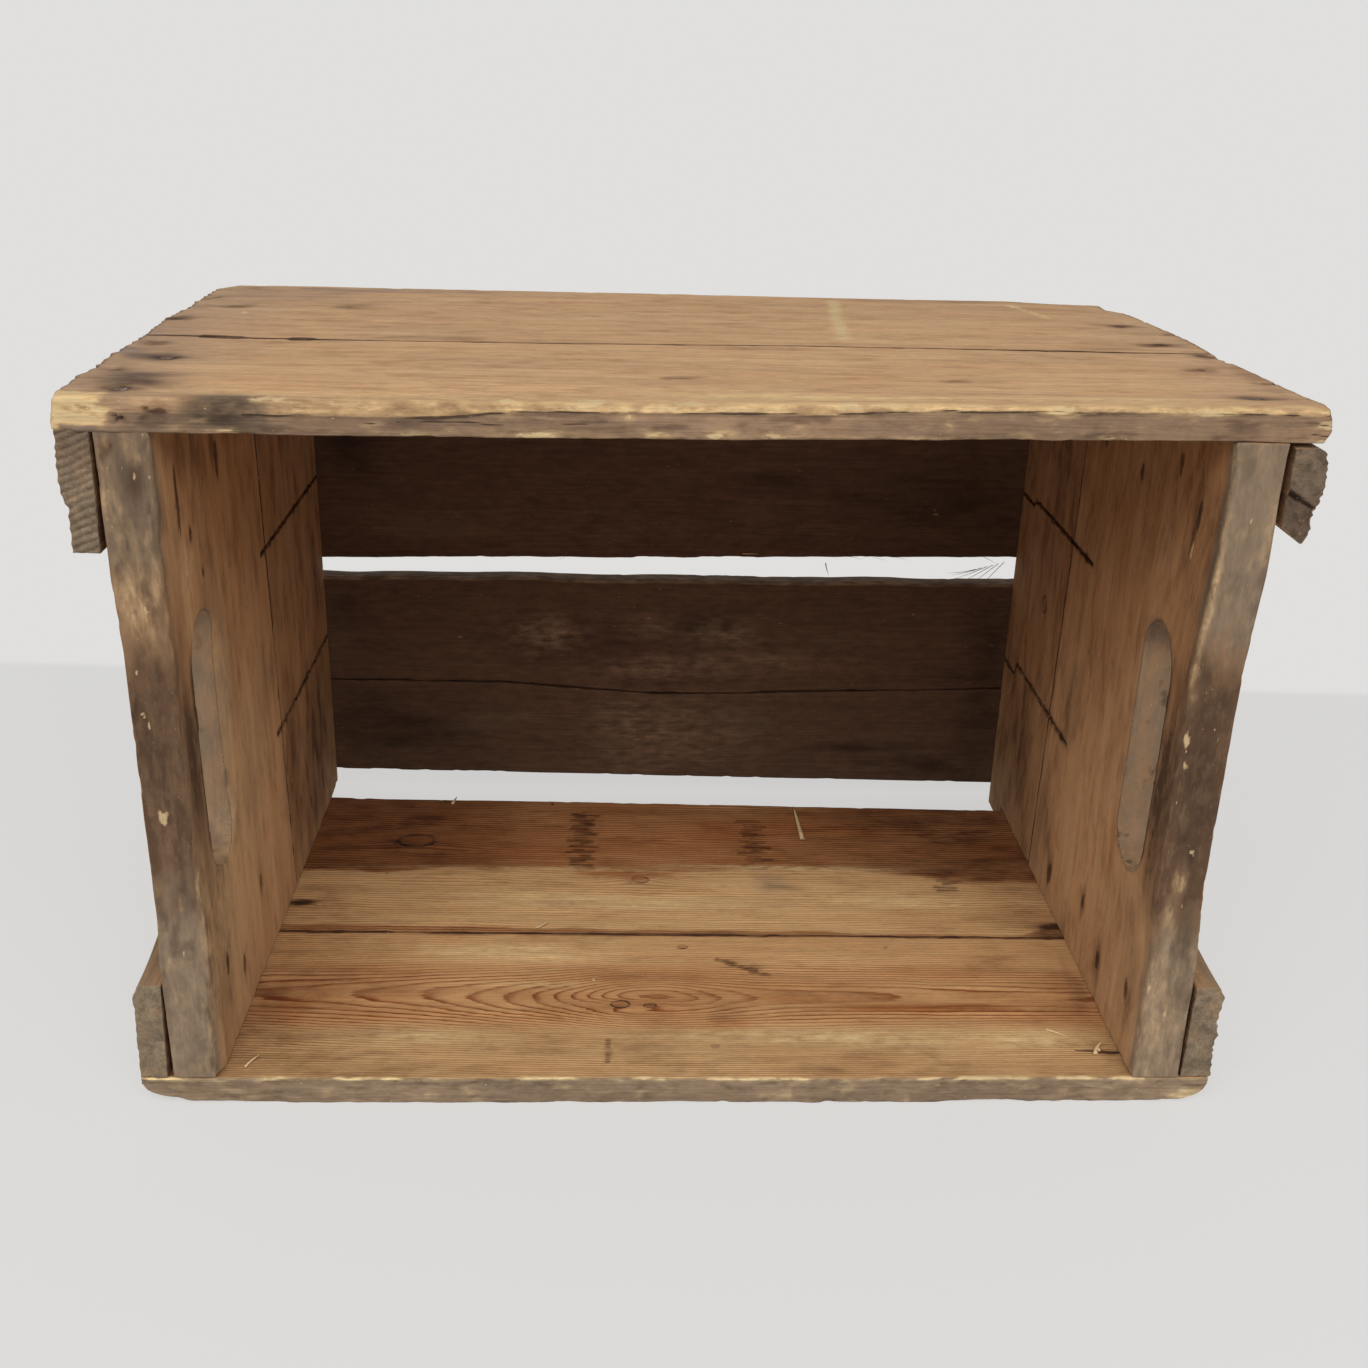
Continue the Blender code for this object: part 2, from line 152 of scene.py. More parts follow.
class Timber:
    """A board: its points, its faces and its wear.

    `rest` keeps each point's place in the plain block, and x, depth and up give it in mm.
    `out` is the way that a point's surface faces.
    """

    MARKS = ("ring", "knot", "heart", "grey", "dirt", "rough", "stain", "pale", "rust", "bare", "crack")

    def __init__(self, node, grain, rulers, air=None):
        self.node, self.grain = node, grain
        self.low, self.high = (np.array(corner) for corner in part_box(node))
        centres = np.meshgrid(*[(r[1:] + r[:-1]) / 2 for r in rulers], indexing="ij")
        wood = np.ones(centres[0].shape, bool) if air is None else ~air(centres)
        self.rest, self.faces = block_surface(rulers, wood)
        self.points = self.rest.copy()
        self.out = np.zeros_like(self.rest)
        self.marks = {mark: np.zeros(len(self.rest)) for mark in self.MARKS}
        self.x, self.depth, self.up = ((self.rest - ORIGIN) / MM).T
        gaps = np.minimum(self.rest - self.low, self.high - self.rest)
        self.edge = np.sort(gaps, axis=1)[:, 1] / MM  # from a point to the nearest edge, in mm

    def vary(self, cell, seed, layers=3):
        """Layered noise over the board in boxes of the given size, in mm along each axis. It
        doesn't change along an axis whose size is 0."""
        cell = [size or ENDLESS for size in cell]
        return layered(self.rest, np.asarray(cell, float) * MM, seed, layers)

    def patches(self, cell, seed, low, high):
        """Ragged patches: 0 where the layered noise is under low, 1 where it is over high."""
        return ease(self.vary(cell, seed), low, high)

    def soften(self, radius):
        """Rounds the edges: a point nearer to two faces than the radius (mm) moves onto a ball
        of that radius, whose centre is the nearest point of the board's core."""
        radius = np.broadcast_to(radius, len(self.rest))[:, None] * MM
        core = np.clip(self.points, self.low + radius, self.high - radius)
        out = self.points - core
        length = np.linalg.norm(out, axis=1, keepdims=True)
        on_skin = length > 1e-9
        self.out = np.where(on_skin, out / np.maximum(length, 1e-9), self.out)
        self.points = np.where(on_skin, core + self.out * radius, self.points)

    def raise_skin(self, height):
        """Moves every point along the way its surface faces, by a height in mm."""
        self.points = self.points + self.out * (np.asarray(height) * MM)[:, None]

    def shift(self, axis, distance):
        """Moves every point along one axis, by a distance in mm."""
        self.points[:, axis] += distance * MM

    def reshape(self, axis, side, distance):
        """Shifts one face of the board, and the wood behind it in proportion."""
        share = (self.rest[:, axis] - self.low[axis]) / (self.high[axis] - self.low[axis])
        self.shift(axis, distance * (share if side > 0 else 1 - share))

    def facing(self, axis, side):
        """1 where the surface faces that way, 0 where it faces any other way."""
        return ease(self.out[:, axis] * side, 0.35, 0.9)

    def paint(self, mark, amount):
        """Adds wear of one kind, where it is stronger than what is there."""
        self.marks[mark] = np.maximum(self.marks[mark], amount)

    def spot(self, place, reach, strength=1.0):
        """A bell of wear round a place: it fades as e to the power of -2.2 times the square of
        the distance over the reach, and its outline wanders with noise."""
        reach = np.asarray(reach, float) * MM
        distance = np.linalg.norm((self.points - place) / reach, axis=1)
        close = np.flatnonzero(distance < 2.2)
        ragged = distance[close] + 0.25 * noise(self.points[close], 0.45 * reach, 5)
        amount = np.zeros(len(self.points))
        amount[close] = strength * np.exp(-2.2 * np.clip(ragged, 0, None) ** 2)
        return amount

    def blots(self, skin, axes, **marks):
        """Marks on a face, by kind: place along two axes, reach along them (mm), strength."""
        axes = list(axes)
        for mark, table in marks.items():
            for row in table:
                place, reach = np.zeros(3), np.full(3, np.inf)
                place[axes], reach[axes] = row[:2], row[2:4]
                self.paint(mark, skin * self.spot(at(*place), reach, row[4]))

    def split(self, skin, axes, places, half, dip=0.0, mark="crack"):
        """A crack or scratch of a half width (mm) on a face, along a line through places given
        on two axes in mm: how near each point lies to it, and a groove of the given dip."""
        axes = list(axes)
        here = (self.points - ORIGIN)[:, axes] / MM
        nearest = np.full(len(here), 99.0)
        for start, stop in zip(np.array(places[:-1], float), np.array(places[1:], float)):
            way = stop - start
            share = np.clip((here - start) @ way / (way @ way), 0, 1)
            nearest = np.minimum(nearest, np.linalg.norm(here - start - share[:, None] * way, axis=1))
        self.line(skin, nearest / half, dip, mark)

    def line(self, skin, gap, dip=0.0, mark="crack"):
        """Draws a crack (or scratch) where a gap, in half widths, is under 1."""
        shown = np.where(skin > 0.4, np.clip(3 - gap, 0, 3), 0)
        self.paint(mark, shown if mark == "crack" else np.clip(shown - 1.2, 0, 0.7))
        self.raise_skin(-dip * skin * (1 - ease(gap, 0.5, 1.8)))

    def grow(self, pith, ring, dive=(0.0, 0.0), wander=1.0, seed=3, knots=()):
        """Growth rings: the distance from the pith over the ring width. The pith is a line
        along the grain. To the left and right of its nearest place it sinks by `dive` times
        a length times ln(1 + distance / length), so the rings there close to nested arches
        that lie further and further apart. Rings bulge round a knot."""
        apart = self.rest - pith
        along = apart[:, self.grain].copy()
        bend = np.hypot(along, 0.01)
        apart[:, self.grain] = 0
        length = 0.04
        for slope, away in zip(dive, ((bend - along) / 2, (bend + along) / 2)):
            apart[:, UP] += slope * length * np.log1p(away / length)
        distance = np.linalg.norm(apart, axis=1) / MM
        cell = np.full(3, 22.0)
        cell[self.grain] = 130
        rings = (distance + wander * self.vary(cell, seed)) / ring
        for place, reach, bulge in knots:
            apart = (self.points - place) / (np.asarray(reach, float) * MM)
            wide = apart.copy()
            wide[:, self.grain] *= 0.4
            rings = rings + bulge * np.exp(-np.sum(wide**2, axis=1) / 3.2)
            self.paint("knot", np.clip(3 - np.linalg.norm(apart, axis=1), 0, 3))
        self.marks["ring"] = rings

    def piece(self, wood):
        """The finished board as a mesh that stands for its node."""
        points, faces = self.points.tolist(), self.faces.tolist()
        made = mesh_piece(self.node + "_worn", points, faces, wood, [self.node])
        for mark, amounts in self.marks.items():
            layer = made.data.attributes.new(mark, "FLOAT", "POINT")
            layer.data.foreach_set("value", np.ascontiguousarray(amounts, dtype=np.float32))


def mesh_piece(name, points, faces, finish, nodes=()):
    """A smooth-shaded mesh of a finish that rides on the crate and stands for its nodes."""
    mesh = bpy.data.meshes.new(name)
    mesh.from_pydata(points, [], faces)
    mesh.shade_smooth()
    mesh.materials.append(WOODS[finish])
    made = bpy.data.objects.new(name, mesh)
    bpy.context.scene.collection.objects.link(made)
    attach(made, "root")
    if nodes:
        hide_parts(*nodes)
    return made


# --- Wear that all boards share ----------------------------------------------------------
def along_grain(board, length, width):
    """The size of a noise box (mm) that is long along the board's grain."""
    cell = np.full(3, float(width))
    cell[board.grain] = length
    return cell


def chipped_radius(board, plain, chip, seed, share=0.25):
    """A radius for the board's edges: small, and larger in chips a few millimetres long."""
    bites = board.vary(along_grain(board, 9, 6), seed)
    return plain + chip * ease(bites, share, share + 0.55)


def weather(board, grain_height=0.1, seed=11):
    """Fine waves along the grain and a slow unevenness, as old rough-sawn softwood has."""
    fine = board.vary(along_grain(board, 38, 3.2), seed, 2)
    slow = board.vary(along_grain(board, 90, 22), seed + 5, 1)
    board.raise_skin(grain_height * fine + 0.16 * slow)


def scallops(board, axis, pitch, depth, seed):
    """Bites side by side: depth times the height of a row of arches whose widths vary."""
    across = board.rest[:, axis] / MM
    cell = np.zeros(3)
    cell[axis] = pitch * 1.7
    arch = np.abs(np.sin(np.pi * (across / pitch + 0.55 * board.vary(cell, seed, 1))))
    cell[axis] = pitch * 2.3
    return depth * arch * (0.65 + 0.35 * board.vary(cell, seed + 1, 1))


# --- Side boards -------------------------------------------------------------------------
# Each nail: x, depth and how it shows: its head, the slit of a buried one, or only its stain.
# Then the reach of the iron stain along and across the grain, and the strength of the stain.
TOP_NAILS = {
    "rim": (
        (-209.5, 13, "head", 13, 9, 0.9), (-207.5, 66, "head", 12, 9, 0.9),
        (-218.5, 42, "slit", 9, 8, 0.6), (-220, 94.5, "slit", 8, 7, 0.8),
        (210.5, 22, "head", 13, 7, 1.0), (209, 78, "slit", 11, 7, 0.9),
        (227, 52, "slit", 8, 6, 0.8), (221, 106, "stain", 9, 7, 1.1),
    ),
    "base": (
        (-210, 190.5, "slit", 11, 7, 0.7), (-227, 155.5, "stain", 10, 9, 0.95),
        (-226, 215, "slit", 7, 6, 0.7), (206.5, 133, "slit", 13, 8, 0.8),
        (205.5, 185, "slit", 13, 8, 0.8), (223, 163.5, "slit", 10, 6, 0.7),
    ),
}
UNDER_NAILS = {
    "rim": ((-210, 22, "head", 11, 6, 0.6), (-209, 79, "slit", 11, 6, 0.6),
            (-223, 52, "head", 8, 5, 0.6), (211, 31, "head", 11, 6, 0.6),
            (209, 86, "head", 11, 6, 0.6), (224, 55, "slit", 8, 5, 0.6)),
    "base": ((-210, 142, "head", 11, 6, 0.6), (-211, 200, "slit", 11, 6, 0.6),
             (-223, 170, "head", 8, 5, 0.6), (210, 146, "head", 11, 6, 0.6),
             (209, 196, "head", 11, 6, 0.6), (224, 172, "slit", 8, 5, 0.6)),
}
NAIL_DISH = 0.5  # mm that the wood is pressed in round a head
DASH_PITCH = 3.3  # mm between the dark streaks of a damp stain

# Where the boards' edges really run, in mm: places along one axis, then the edge there.
TOP_LEFT_END = ((0, 8, 20, 33, 39, 72, 102, 160, 188, 232),
                (-233.2, -232, -230.8, -231.8, -229.6, -231.4, -230.4, -233, -231.4, -231.8))
TOP_RIGHT_END = ((0, 25, 60, 90, 101, 109, 150, 190, 230, 240),
                 (230.5, 232.3, 230, 228.2, 225, 226.5, 227.3, 223.5, 220, 213))
TOP_REAR = ((-230, -223, -190, -40, 60, 165, 188, 203), (242, 252.5, 253.5, 252, 249.5, 249, 244, 242))
TOP_SEAM = ((-206, -189, -140, -38, 47, 181), (112, 109.2, 109.2, 110.7, 114.6, 114.2))
TOP_WARP = ((-200, -140, 0, 40, 110, 180), (-1.2, -1.3, -0.7, 0.0, 0.9, 1.7))
UPPER_CRACK = ((-161, -90, -68, 0, 35, 90, 200, 230),
               (289.2, 289.4, 291.6, 292.0, 291.3, 292.8, 292.6, 292))
UPPER_DIRT = ((-214, -205, -60, 20, 120, 200, 231), (0.38, 0.68, 0.6, 0.46, 0.64, 0.58, 0.45))
FLOOR_REAR = ((-192, -157, -99, 19, 190), (264.4, 262.3, 261.9, 258.5, 253.3))
FLOOR_SEAM = ((-197, 197), (118.2, 113.8))

UPPER_CHIPS = (  # x, height, reach along both, strength
    (-61, 282.3, 17, 2.4, 0.85), (-17, 282.6, 6, 2.4, 0.8), (6, 282.8, 7, 2.6, 0.85),
    (27, 283, 7, 2.4, 0.8), (-104, 282, 8, 1.4, 0.6), (-171, 282, 7, 1.4, 0.8),
    (-155, 294, 9, 2.2, 1.0), (150, 284.5, 5, 1.6, 0.7), (-70, 294.5, 5, 1.6, 1.2),
    (-5, 294.5, 8, 2, 1.1), (55, 294.6, 7, 2, 1.1), (132, 294.5, 7, 2.4, 1.3),
    (185, 294.5, 16, 1.8, 1.1), (-26, 290, 3, 3, 0.5), (90, 288, 2, 2.4, 0.5),
    (100, 282.6, 60, 1.4, 0.6), (180, 283, 14, 1.5, 0.7), (-100, 294.6, 12, 1.4, 0.9),
    (-40, 294.6, 18, 1.4, 0.9),
)


def side_rulers(node, step, across, thin):
    """Cells of a side board: fine ones at its ends and edges, and inside the sizes given."""
    low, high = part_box(node)
    x = ruler((-high.x, 0.0007), (-high.x + 0.004, 0.001), (-0.19, step), (0.19, 0.001),
              (high.x - 0.004, 0.0007), (high.x,))
    return x, even_ruler(low.y, high.y, across), even_ruler(low.z, high.z, thin, 0.002)


def press_nails(board, nails, side):
    """Presses a shallow dish round each head, cuts a short slit over each buried nail, and
    stains the wood along the grain."""
    skin = board.facing(UP, side)
    for x, depth, shows, along, across, strength in nails:
        board.blots(skin, ON_TOP, stain=((x, depth, along, across, strength),))
        if shows == "head":
            apart = np.hypot(board.x - x, board.depth - depth)
            board.raise_skin(-NAIL_DISH * (1 - ease(apart, 3.4, 5.6)) * skin)
            board.blots(skin, ON_TOP, rust=((x, depth, 6.2, 5.8, 0.9),))
        elif shows == "slit":
            ends = ((x - along / 2.4, depth + 0.6), (x, depth - 0.4), (x + along / 2.4, depth + 0.4))
            board.split(skin, ON_TOP, ends, 1.05, 0.9)


def open_seam(board, side, seed, seam, width, dark):
    """Bends an edge to the line of the joint, draws it back raggedly, paints shade on the wood inside the
    joint, and darkens a narrow band beside it."""
    edge = (board.high if side > 0 else board.low)[DEPTH]
    middle = (edge - RIM) / MM + 0.4 * side
    ragged = 0.35 * np.abs(board.vary((14, 0, 0), seed + 3)) + width
    board.reshape(DEPTH, side, np.interp(board.x, *seam) - middle - side * ragged)
    # Painted shade: the faces inside the narrow joint are darkened as a deep gap would be.
    board.paint("stain", 0.95 * ease(board.out[:, DEPTH] * side, 0.2, 0.6))
    beside = np.abs(board.rest[:, DEPTH] - edge) / MM
    skin = board.facing(UP, 1) + board.facing(UP, -1)
    board.line(skin, beside / np.maximum(dark, 0.01))
    board.paint("stain", 0.18 * (1 - ease(beside, 0.5, 3.0)) * (1 + board.vary((20, 0, 0), seed + 4)))
    board.paint("heart", 0.6 * (1 - ease(beside, 0.5, 3.0)))


def upper_side():
    """The two boards on top: sun-bleached and handled, dirty towards the ends and the rim."""
    upper_board("rim", 0.0012, 0.0007, 41)
    upper_board("base", 0.0016, 0.0011, 47)


def upper_board(part, step, thin, seed):
    """One board on top, in cells of a step along it and of a thinner one through it."""
    node = f"upper_side_{part}_board"
    board = Timber(node, ALONG, side_rulers(node, step, 0.0015, thin))
    x, depth, up = board.x, board.depth, board.up
    radius = chipped_radius(board, 0.6, 1.2, seed)
    if part == "rim":
        rolled = (1 - ease(depth, 4, 9)) * ease(up, 285, 291)
        radius = radius + rolled * (1.3 + 0.7 * board.vary((30, 0, 0), seed + 8))
        corner = (1 - ease(depth, 5, 9)) * ease(-x, 222, 226)
        radius = radius + 1.4 * corner
    board.soften(radius)
    weather(board, seed=seed)
    shape_upper_ends(board, seed)
    top = board.facing(UP, 1)
    press_nails(board, TOP_NAILS[part], 1)
    board.paint("grey", 0.45 * ease(-x, 160, HALF_LENGTH) + 0.2 * ease(x, 170, HALF_LENGTH))
    board.paint("stain", 0.75 * board.facing(ALONG, -1) + 0.7 * board.facing(ALONG, 1))
    board.paint("stain", 0.5 * top * (1 - ease(HALF_LENGTH - np.abs(x), 0.5, 3)))
    mark_top(board, top)
    if part == "rim":
        wear_upper_front(board)
    torn = between(x, -207, -205, -189, -186) + between(x, -170, -167, -160, -156)
    closed = ease(x, 176, 196)
    dark = (0.55 + 1.65 * torn) * (1 - closed) + 0.4 * board.vary((9, 0, 0), seed + 5)
    width = 0.1 + 0.9 * torn - 0.35 * closed
    open_seam(board, 1 if part == "rim" else -1, seed, TOP_SEAM, width, dark)
    if part == "base":
        torn = 0.4 * np.abs(board.vary((16, 0, 0), 50))
        board.reshape(DEPTH, 1, np.interp(x, *TOP_REAR) - SIDE_DEPTH - torn)
    board.paint("heart", 0.45 if part == "rim" else 0.42)
    pith = at(0, -60, 170) if part == "rim" else at(0, 430, 240)
    board.grow(pith, 2.6, seed=seed, wander=2.6)
    board.piece("side")


def shape_upper_ends(board, seed):
    """Runs the sawn ends along their worn outlines, with bites at the left one."""
    x, depth = board.x, board.depth
    bites = scallops(board, DEPTH, 8.5, 1.3, seed) + 0.8 * board.vary((0, 4, 20), seed + 7)
    left_end = np.interp(depth, *TOP_LEFT_END) + HALF_LENGTH + bites
    board.shift(ALONG, ease(-x, 205, HALF_LENGTH) * left_end)
    torn = 0.5 * np.abs(board.vary((0, 6, 20), seed + 9))
    right_end = np.interp(depth, *TOP_RIGHT_END) - HALF_LENGTH - torn
    board.shift(ALONG, ease(x, 190, HALF_LENGTH) * right_end)
    board.shift(ALONG, ease(-x, 228, HALF_LENGTH) * 0.8 * ease(board.up, 285, 295))


def mark_top(board, top):
    """The marks of handling and the long pale scratches on the top face."""
    board.blots(
        top, ON_TOP,
        grey=((-205, 225, 70, 40, 0.5), (-150, 247, 110, 9, 0.75), (-228, 79, 12, 11, 1.2),
              (-221, 79, 9, 7, 0.9), (-226, 14, 12, 14, 0.9), (-214, 67, 14, 10, 0.9),
              (-226, 120, 10, 60, 0.7), (226, 170, 9, 60, 0.4)),
        dirt=((-211, 29, 20, 15, 1.0), (-214, 68, 17, 12, 0.8), (210, 22, 12, 8, 0.8)),
        stain=((-205, 22, 18, 13, 0.6), (-8, 43, 9, 4.5, 0.6), (101.5, 45, 9, 5, 0.6),
               (130, 250, 90, 5, 0.4), (-60, 62, 80, 14, 0.12), (40, 228, 70, 10, 0.2),
               (150, 95, 50, 10, 0.2), (-120, 150, 60, 12, 0.14), (165, 235, 40, 9, 0.3),
               (-90, 215, 50, 8, 0.22), (185, 120, 26, 8, 0.35), (-212, 247.5, 6, 3, 0.7),
               (-155, 197, 16, 9, 0.5), (-115, 119, 34, 9, 0.35), (-55, 112, 34, 6, 0.35),
               (30, 105, 40, 7, 0.25), (226, 60, 8, 60, 0.3)),
        rust=((-155, 196, 14, 6, 0.5),),
        pale=((-110, 9, 110, 9, 0.4), (40, 12, 90, 8, 0.8), (160, 13, 60, 7, 0.8)),
        bare=((228, 252, 7, 4, 0.8), (229, 242, 5, 3, 0.8), (-201, 173, 3.5, 4.5, 1.1),
              (-60, 232, 6, 6, 0.7), (212, 196, 8, 5, 0.75)),
    )
    scratch = ((76.6, 243), (72, 190), (69, 134))
    board.split(top, ON_TOP, scratch, 1.7, mark="bare")
    board.split(top, ON_TOP, scratch, 2.4, mark="pale")
    board.split(top, ON_TOP, ((166, 243), (176, 205)), 1.6, mark="pale")
    board.paint("rough", 0.22 * top)
    board.split(top, ON_TOP, ((-164, 196), (-150, 191)), 0.8, 0.4)


def wear_upper_front(board):
    """The rim edge of the upper side: a pale torn arris above a thin dark crack, smooth grey
    dirt below it, pits and a dark patch on the left, and a bright broken left corner."""
    x, depth, up = board.x, board.depth, board.up
    front = board.facing(DEPTH, -1)
    near = 1 - ease(depth, 0, 11)
    board.shift(UP, np.interp(x, *TOP_WARP) * (1 - ease(depth, 2, 30)))
    wave = 0.4 + 0.6 * board.vary((40, 0, 0), 71) + 0.25 * board.vary((6, 0, 0), 72)
    board.shift(DEPTH, near * wave)
    board.reshape(UP, -1, near * 0.5 * np.abs(board.vary((28, 0, 0), 75)))
    pits = board.patches((4.5, 0, 2.5), 73, 0.15, 0.8)
    pitted = between(x, -212, -209, -190, -184) * between(up, 284.5, 286, 291, 292)
    pitted = pitted + 0.12 * (1 - ease(x, -20, 90))
    board.shift(DEPTH, front * pits * pitted * 1.3)
    board.paint("stain", front * np.clip(pits * pitted, 0, 1) * 0.75)
    line = np.interp(x, *UPPER_CRACK) + 0.5 * board.vary((14, 0, 0), 77)
    above = ease(up - line, -0.1, 0.5)
    skin = np.maximum(front, near)
    dirt = np.interp(x, *UPPER_DIRT) * (1 - ease(depth, 6, 11))
    board.paint("dirt", skin * (1 - above) * dirt)
    board.paint("dirt", 0.35 * above * near * (1 - ease(x, -100, -20)))
    board.paint("grey", skin * (1 - above) * 0.5)
    board.paint("stain", front * (1 - above) * 0.5 * board.patches((14, 0, 3), 86, 0.2, 0.8))
    board.paint("pale", front * (1 - above) * 0.16 * board.patches((9, 0, 3), 88, 0.3, 0.9))
    board.paint("rough", front * 0.85)
    width = np.maximum(0.3 - 0.12 * ease(x, 90, 150) + 0.32 * board.vary((16, 0, 0), 78), 0.02)
    board.line(front * ease(x, -168, -160), np.abs(up - line) / width, 0.25)
    board.paint("stain", front * 0.3 * (1 - ease(np.abs(up - line), 0.4, 1.6)) * ease(x, -168, -160))
    under = 286.6 + 1.2 * board.vary((30, 0, 0), 79)
    board.line(front * between(x, -130, -120, -20, -5), np.abs(up - under) / (0.7 * width))
    arris = between(depth, -1, 0, 2.5, 6) * above
    share = np.interp(x, (-165, -150, -100, -60, 60, 231), (0.1, 0.5, 0.45, 0.85, 0.95, 0.85))
    board.paint("pale", arris * share * (0.6 + 0.25 * board.vary((9, 2, 2), 76)))
    torn = 0.75 * board.patches((12, 3, 3), 74, -0.1, 0.8)
    board.paint("bare", arris * (1 - ease(depth, 0.5, 3)) * share * torn)
    chip_upper_front(board, front, skin)
    break_left_corner(board, front)
    break_right_tip(board, front, near)


def chip_upper_front(board, front, skin):
    """Dirt, stains and chips on the rim edge, each chip with a pale ring round it."""
    board.blots(
        skin, IN_FRONT,
        heart=((-198, 289, 16, 5, 1.2),),
        grey=((-222, 282.5, 12, 3.5, 1.2),),
        dirt=((-168, 289, 24, 14, 1.3), (-190, 284, 18, 5, 0.8)),
        rough=((-170, 288, 34, 12, 1.2),),
        stain=((-174, 288, 15, 8, 0.5), (196, 283.5, 10, 3, 0.4), (110, 286, 18, 4, 0.25),
               (-110, 286, 14, 5, 0.3), (-40, 285, 26, 3, 0.3)),
    )
    board.blots(skin, IN_FRONT, bare=UPPER_CHIPS)
    around = [(u, v, 1.4 * wide, 1.2 * tall, 0.6 * much) for u, v, wide, tall, much in UPPER_CHIPS]
    board.blots(front, IN_FRONT, pale=around)


def break_left_corner(board, front):
    """The bright broken corner on the left: fresh wood without the dirt."""
    x, depth, up = board.x, board.depth, board.up
    broken = ease(-x - 3.0 * board.vary((20, 0, 3), 78), 211, 215.5)
    broken = broken * ease(up + 1.0 * board.vary((10, 0, 0), 79), 284.4, 286.6)
    pale = broken * (1 - ease(depth + 1.6 * board.vary((8, 0, 0), 80), 4, 8))
    pale = np.maximum(pale, between(-x, 227.5, 228.5, 240, 241) * (1 - ease(depth, 6, 9)))
    for mark in ("dirt", "grey", "stain", "crack"):
        board.marks[mark] *= 1 - np.clip(pale, 0, 1)
    board.paint("pale", pale * 0.9)
    board.paint("bare", pale * (0.62 + 0.3 * board.vary((7, 4, 1.6), 87)))
    board.blots(front, IN_FRONT, stain=((-221, 289.5, 8, 1.2, 0.5), (-217, 287, 4, 2, 0.4)))


def break_right_tip(board, front, near):
    """The right tip: drawn out in the middle, brown and split."""
    x, up = board.x, board.up
    tip = ease(x, 222, 230) * near
    board.shift(ALONG, 1.2 * tip * ease(up, 284, 287) * (1 - ease(up, 290, 293.5)))
    board.shift(ALONG, -1.0 * tip * (1 - ease(up, 282.5, 285)))
    board.paint("heart", tip * 1.4)
    board.marks["dirt"] *= 1 - 0.6 * tip
    board.paint("bare", tip * board.patches((10, 10, 1.5), 80, -0.1, 0.5))
    skin = np.maximum(front, tip)
    board.split(skin, IN_FRONT, ((224, 287.2), (232, 286.6)), 0.35)
    board.split(skin, IN_FRONT, ((226, 291), (232, 290.2)), 0.3)


def lower_side():
    """The two boards that the crate lies on: their inner faces show, figured, less weathered."""
    lower_board("rim", 0.0012, 53)
    lower_board("base", 0.0013, 59)


def lower_board(part, step, seed):
    """One board below, in cells of a step along it."""
    node = f"lower_side_{part}_board"
    board = Timber(node, ALONG, side_rulers(node, step, 0.0015, 0.0011))
    x, depth = board.x, board.depth
    board.soften(chipped_radius(board, 0.6, 1.0, seed))
    weather(board, seed=seed)
    wear_lower_ends(board, seed)
    inside = board.facing(UP, 1)
    press_nails(board, UNDER_NAILS[part], -1)
    board.paint("grey", board.facing(UP, -1) * 0.6)
    board.paint("stain", 0.6 * board.facing(ALONG, -1) + 0.6 * board.facing(ALONG, 1))
    darker_share = 0.02 + 0.22 * ease(-x, 90, INNER_FACE) + 0.1 * ease(x, 150, INNER_FACE)
    darker_share = darker_share + 0.22 * (1 - ease(depth, 30, 44)) + 0.22 * ease(x, 130, 190) * ease(depth, 118, 126)
    board.paint("stain", inside * darker_share)
    if part == "rim":
        floor_front(board, inside, seed)
    else:
        floor_back(board, inside, seed)
    dark = 0.18 + 0.25 * ease(-x, 60, INNER_FACE) + 0.3 * board.vary((12, 0, 0), seed + 5)
    open_seam(board, 1 if part == "rim" else -1, seed, FLOOR_SEAM, 0.0, dark)
    board.piece("side_inner")


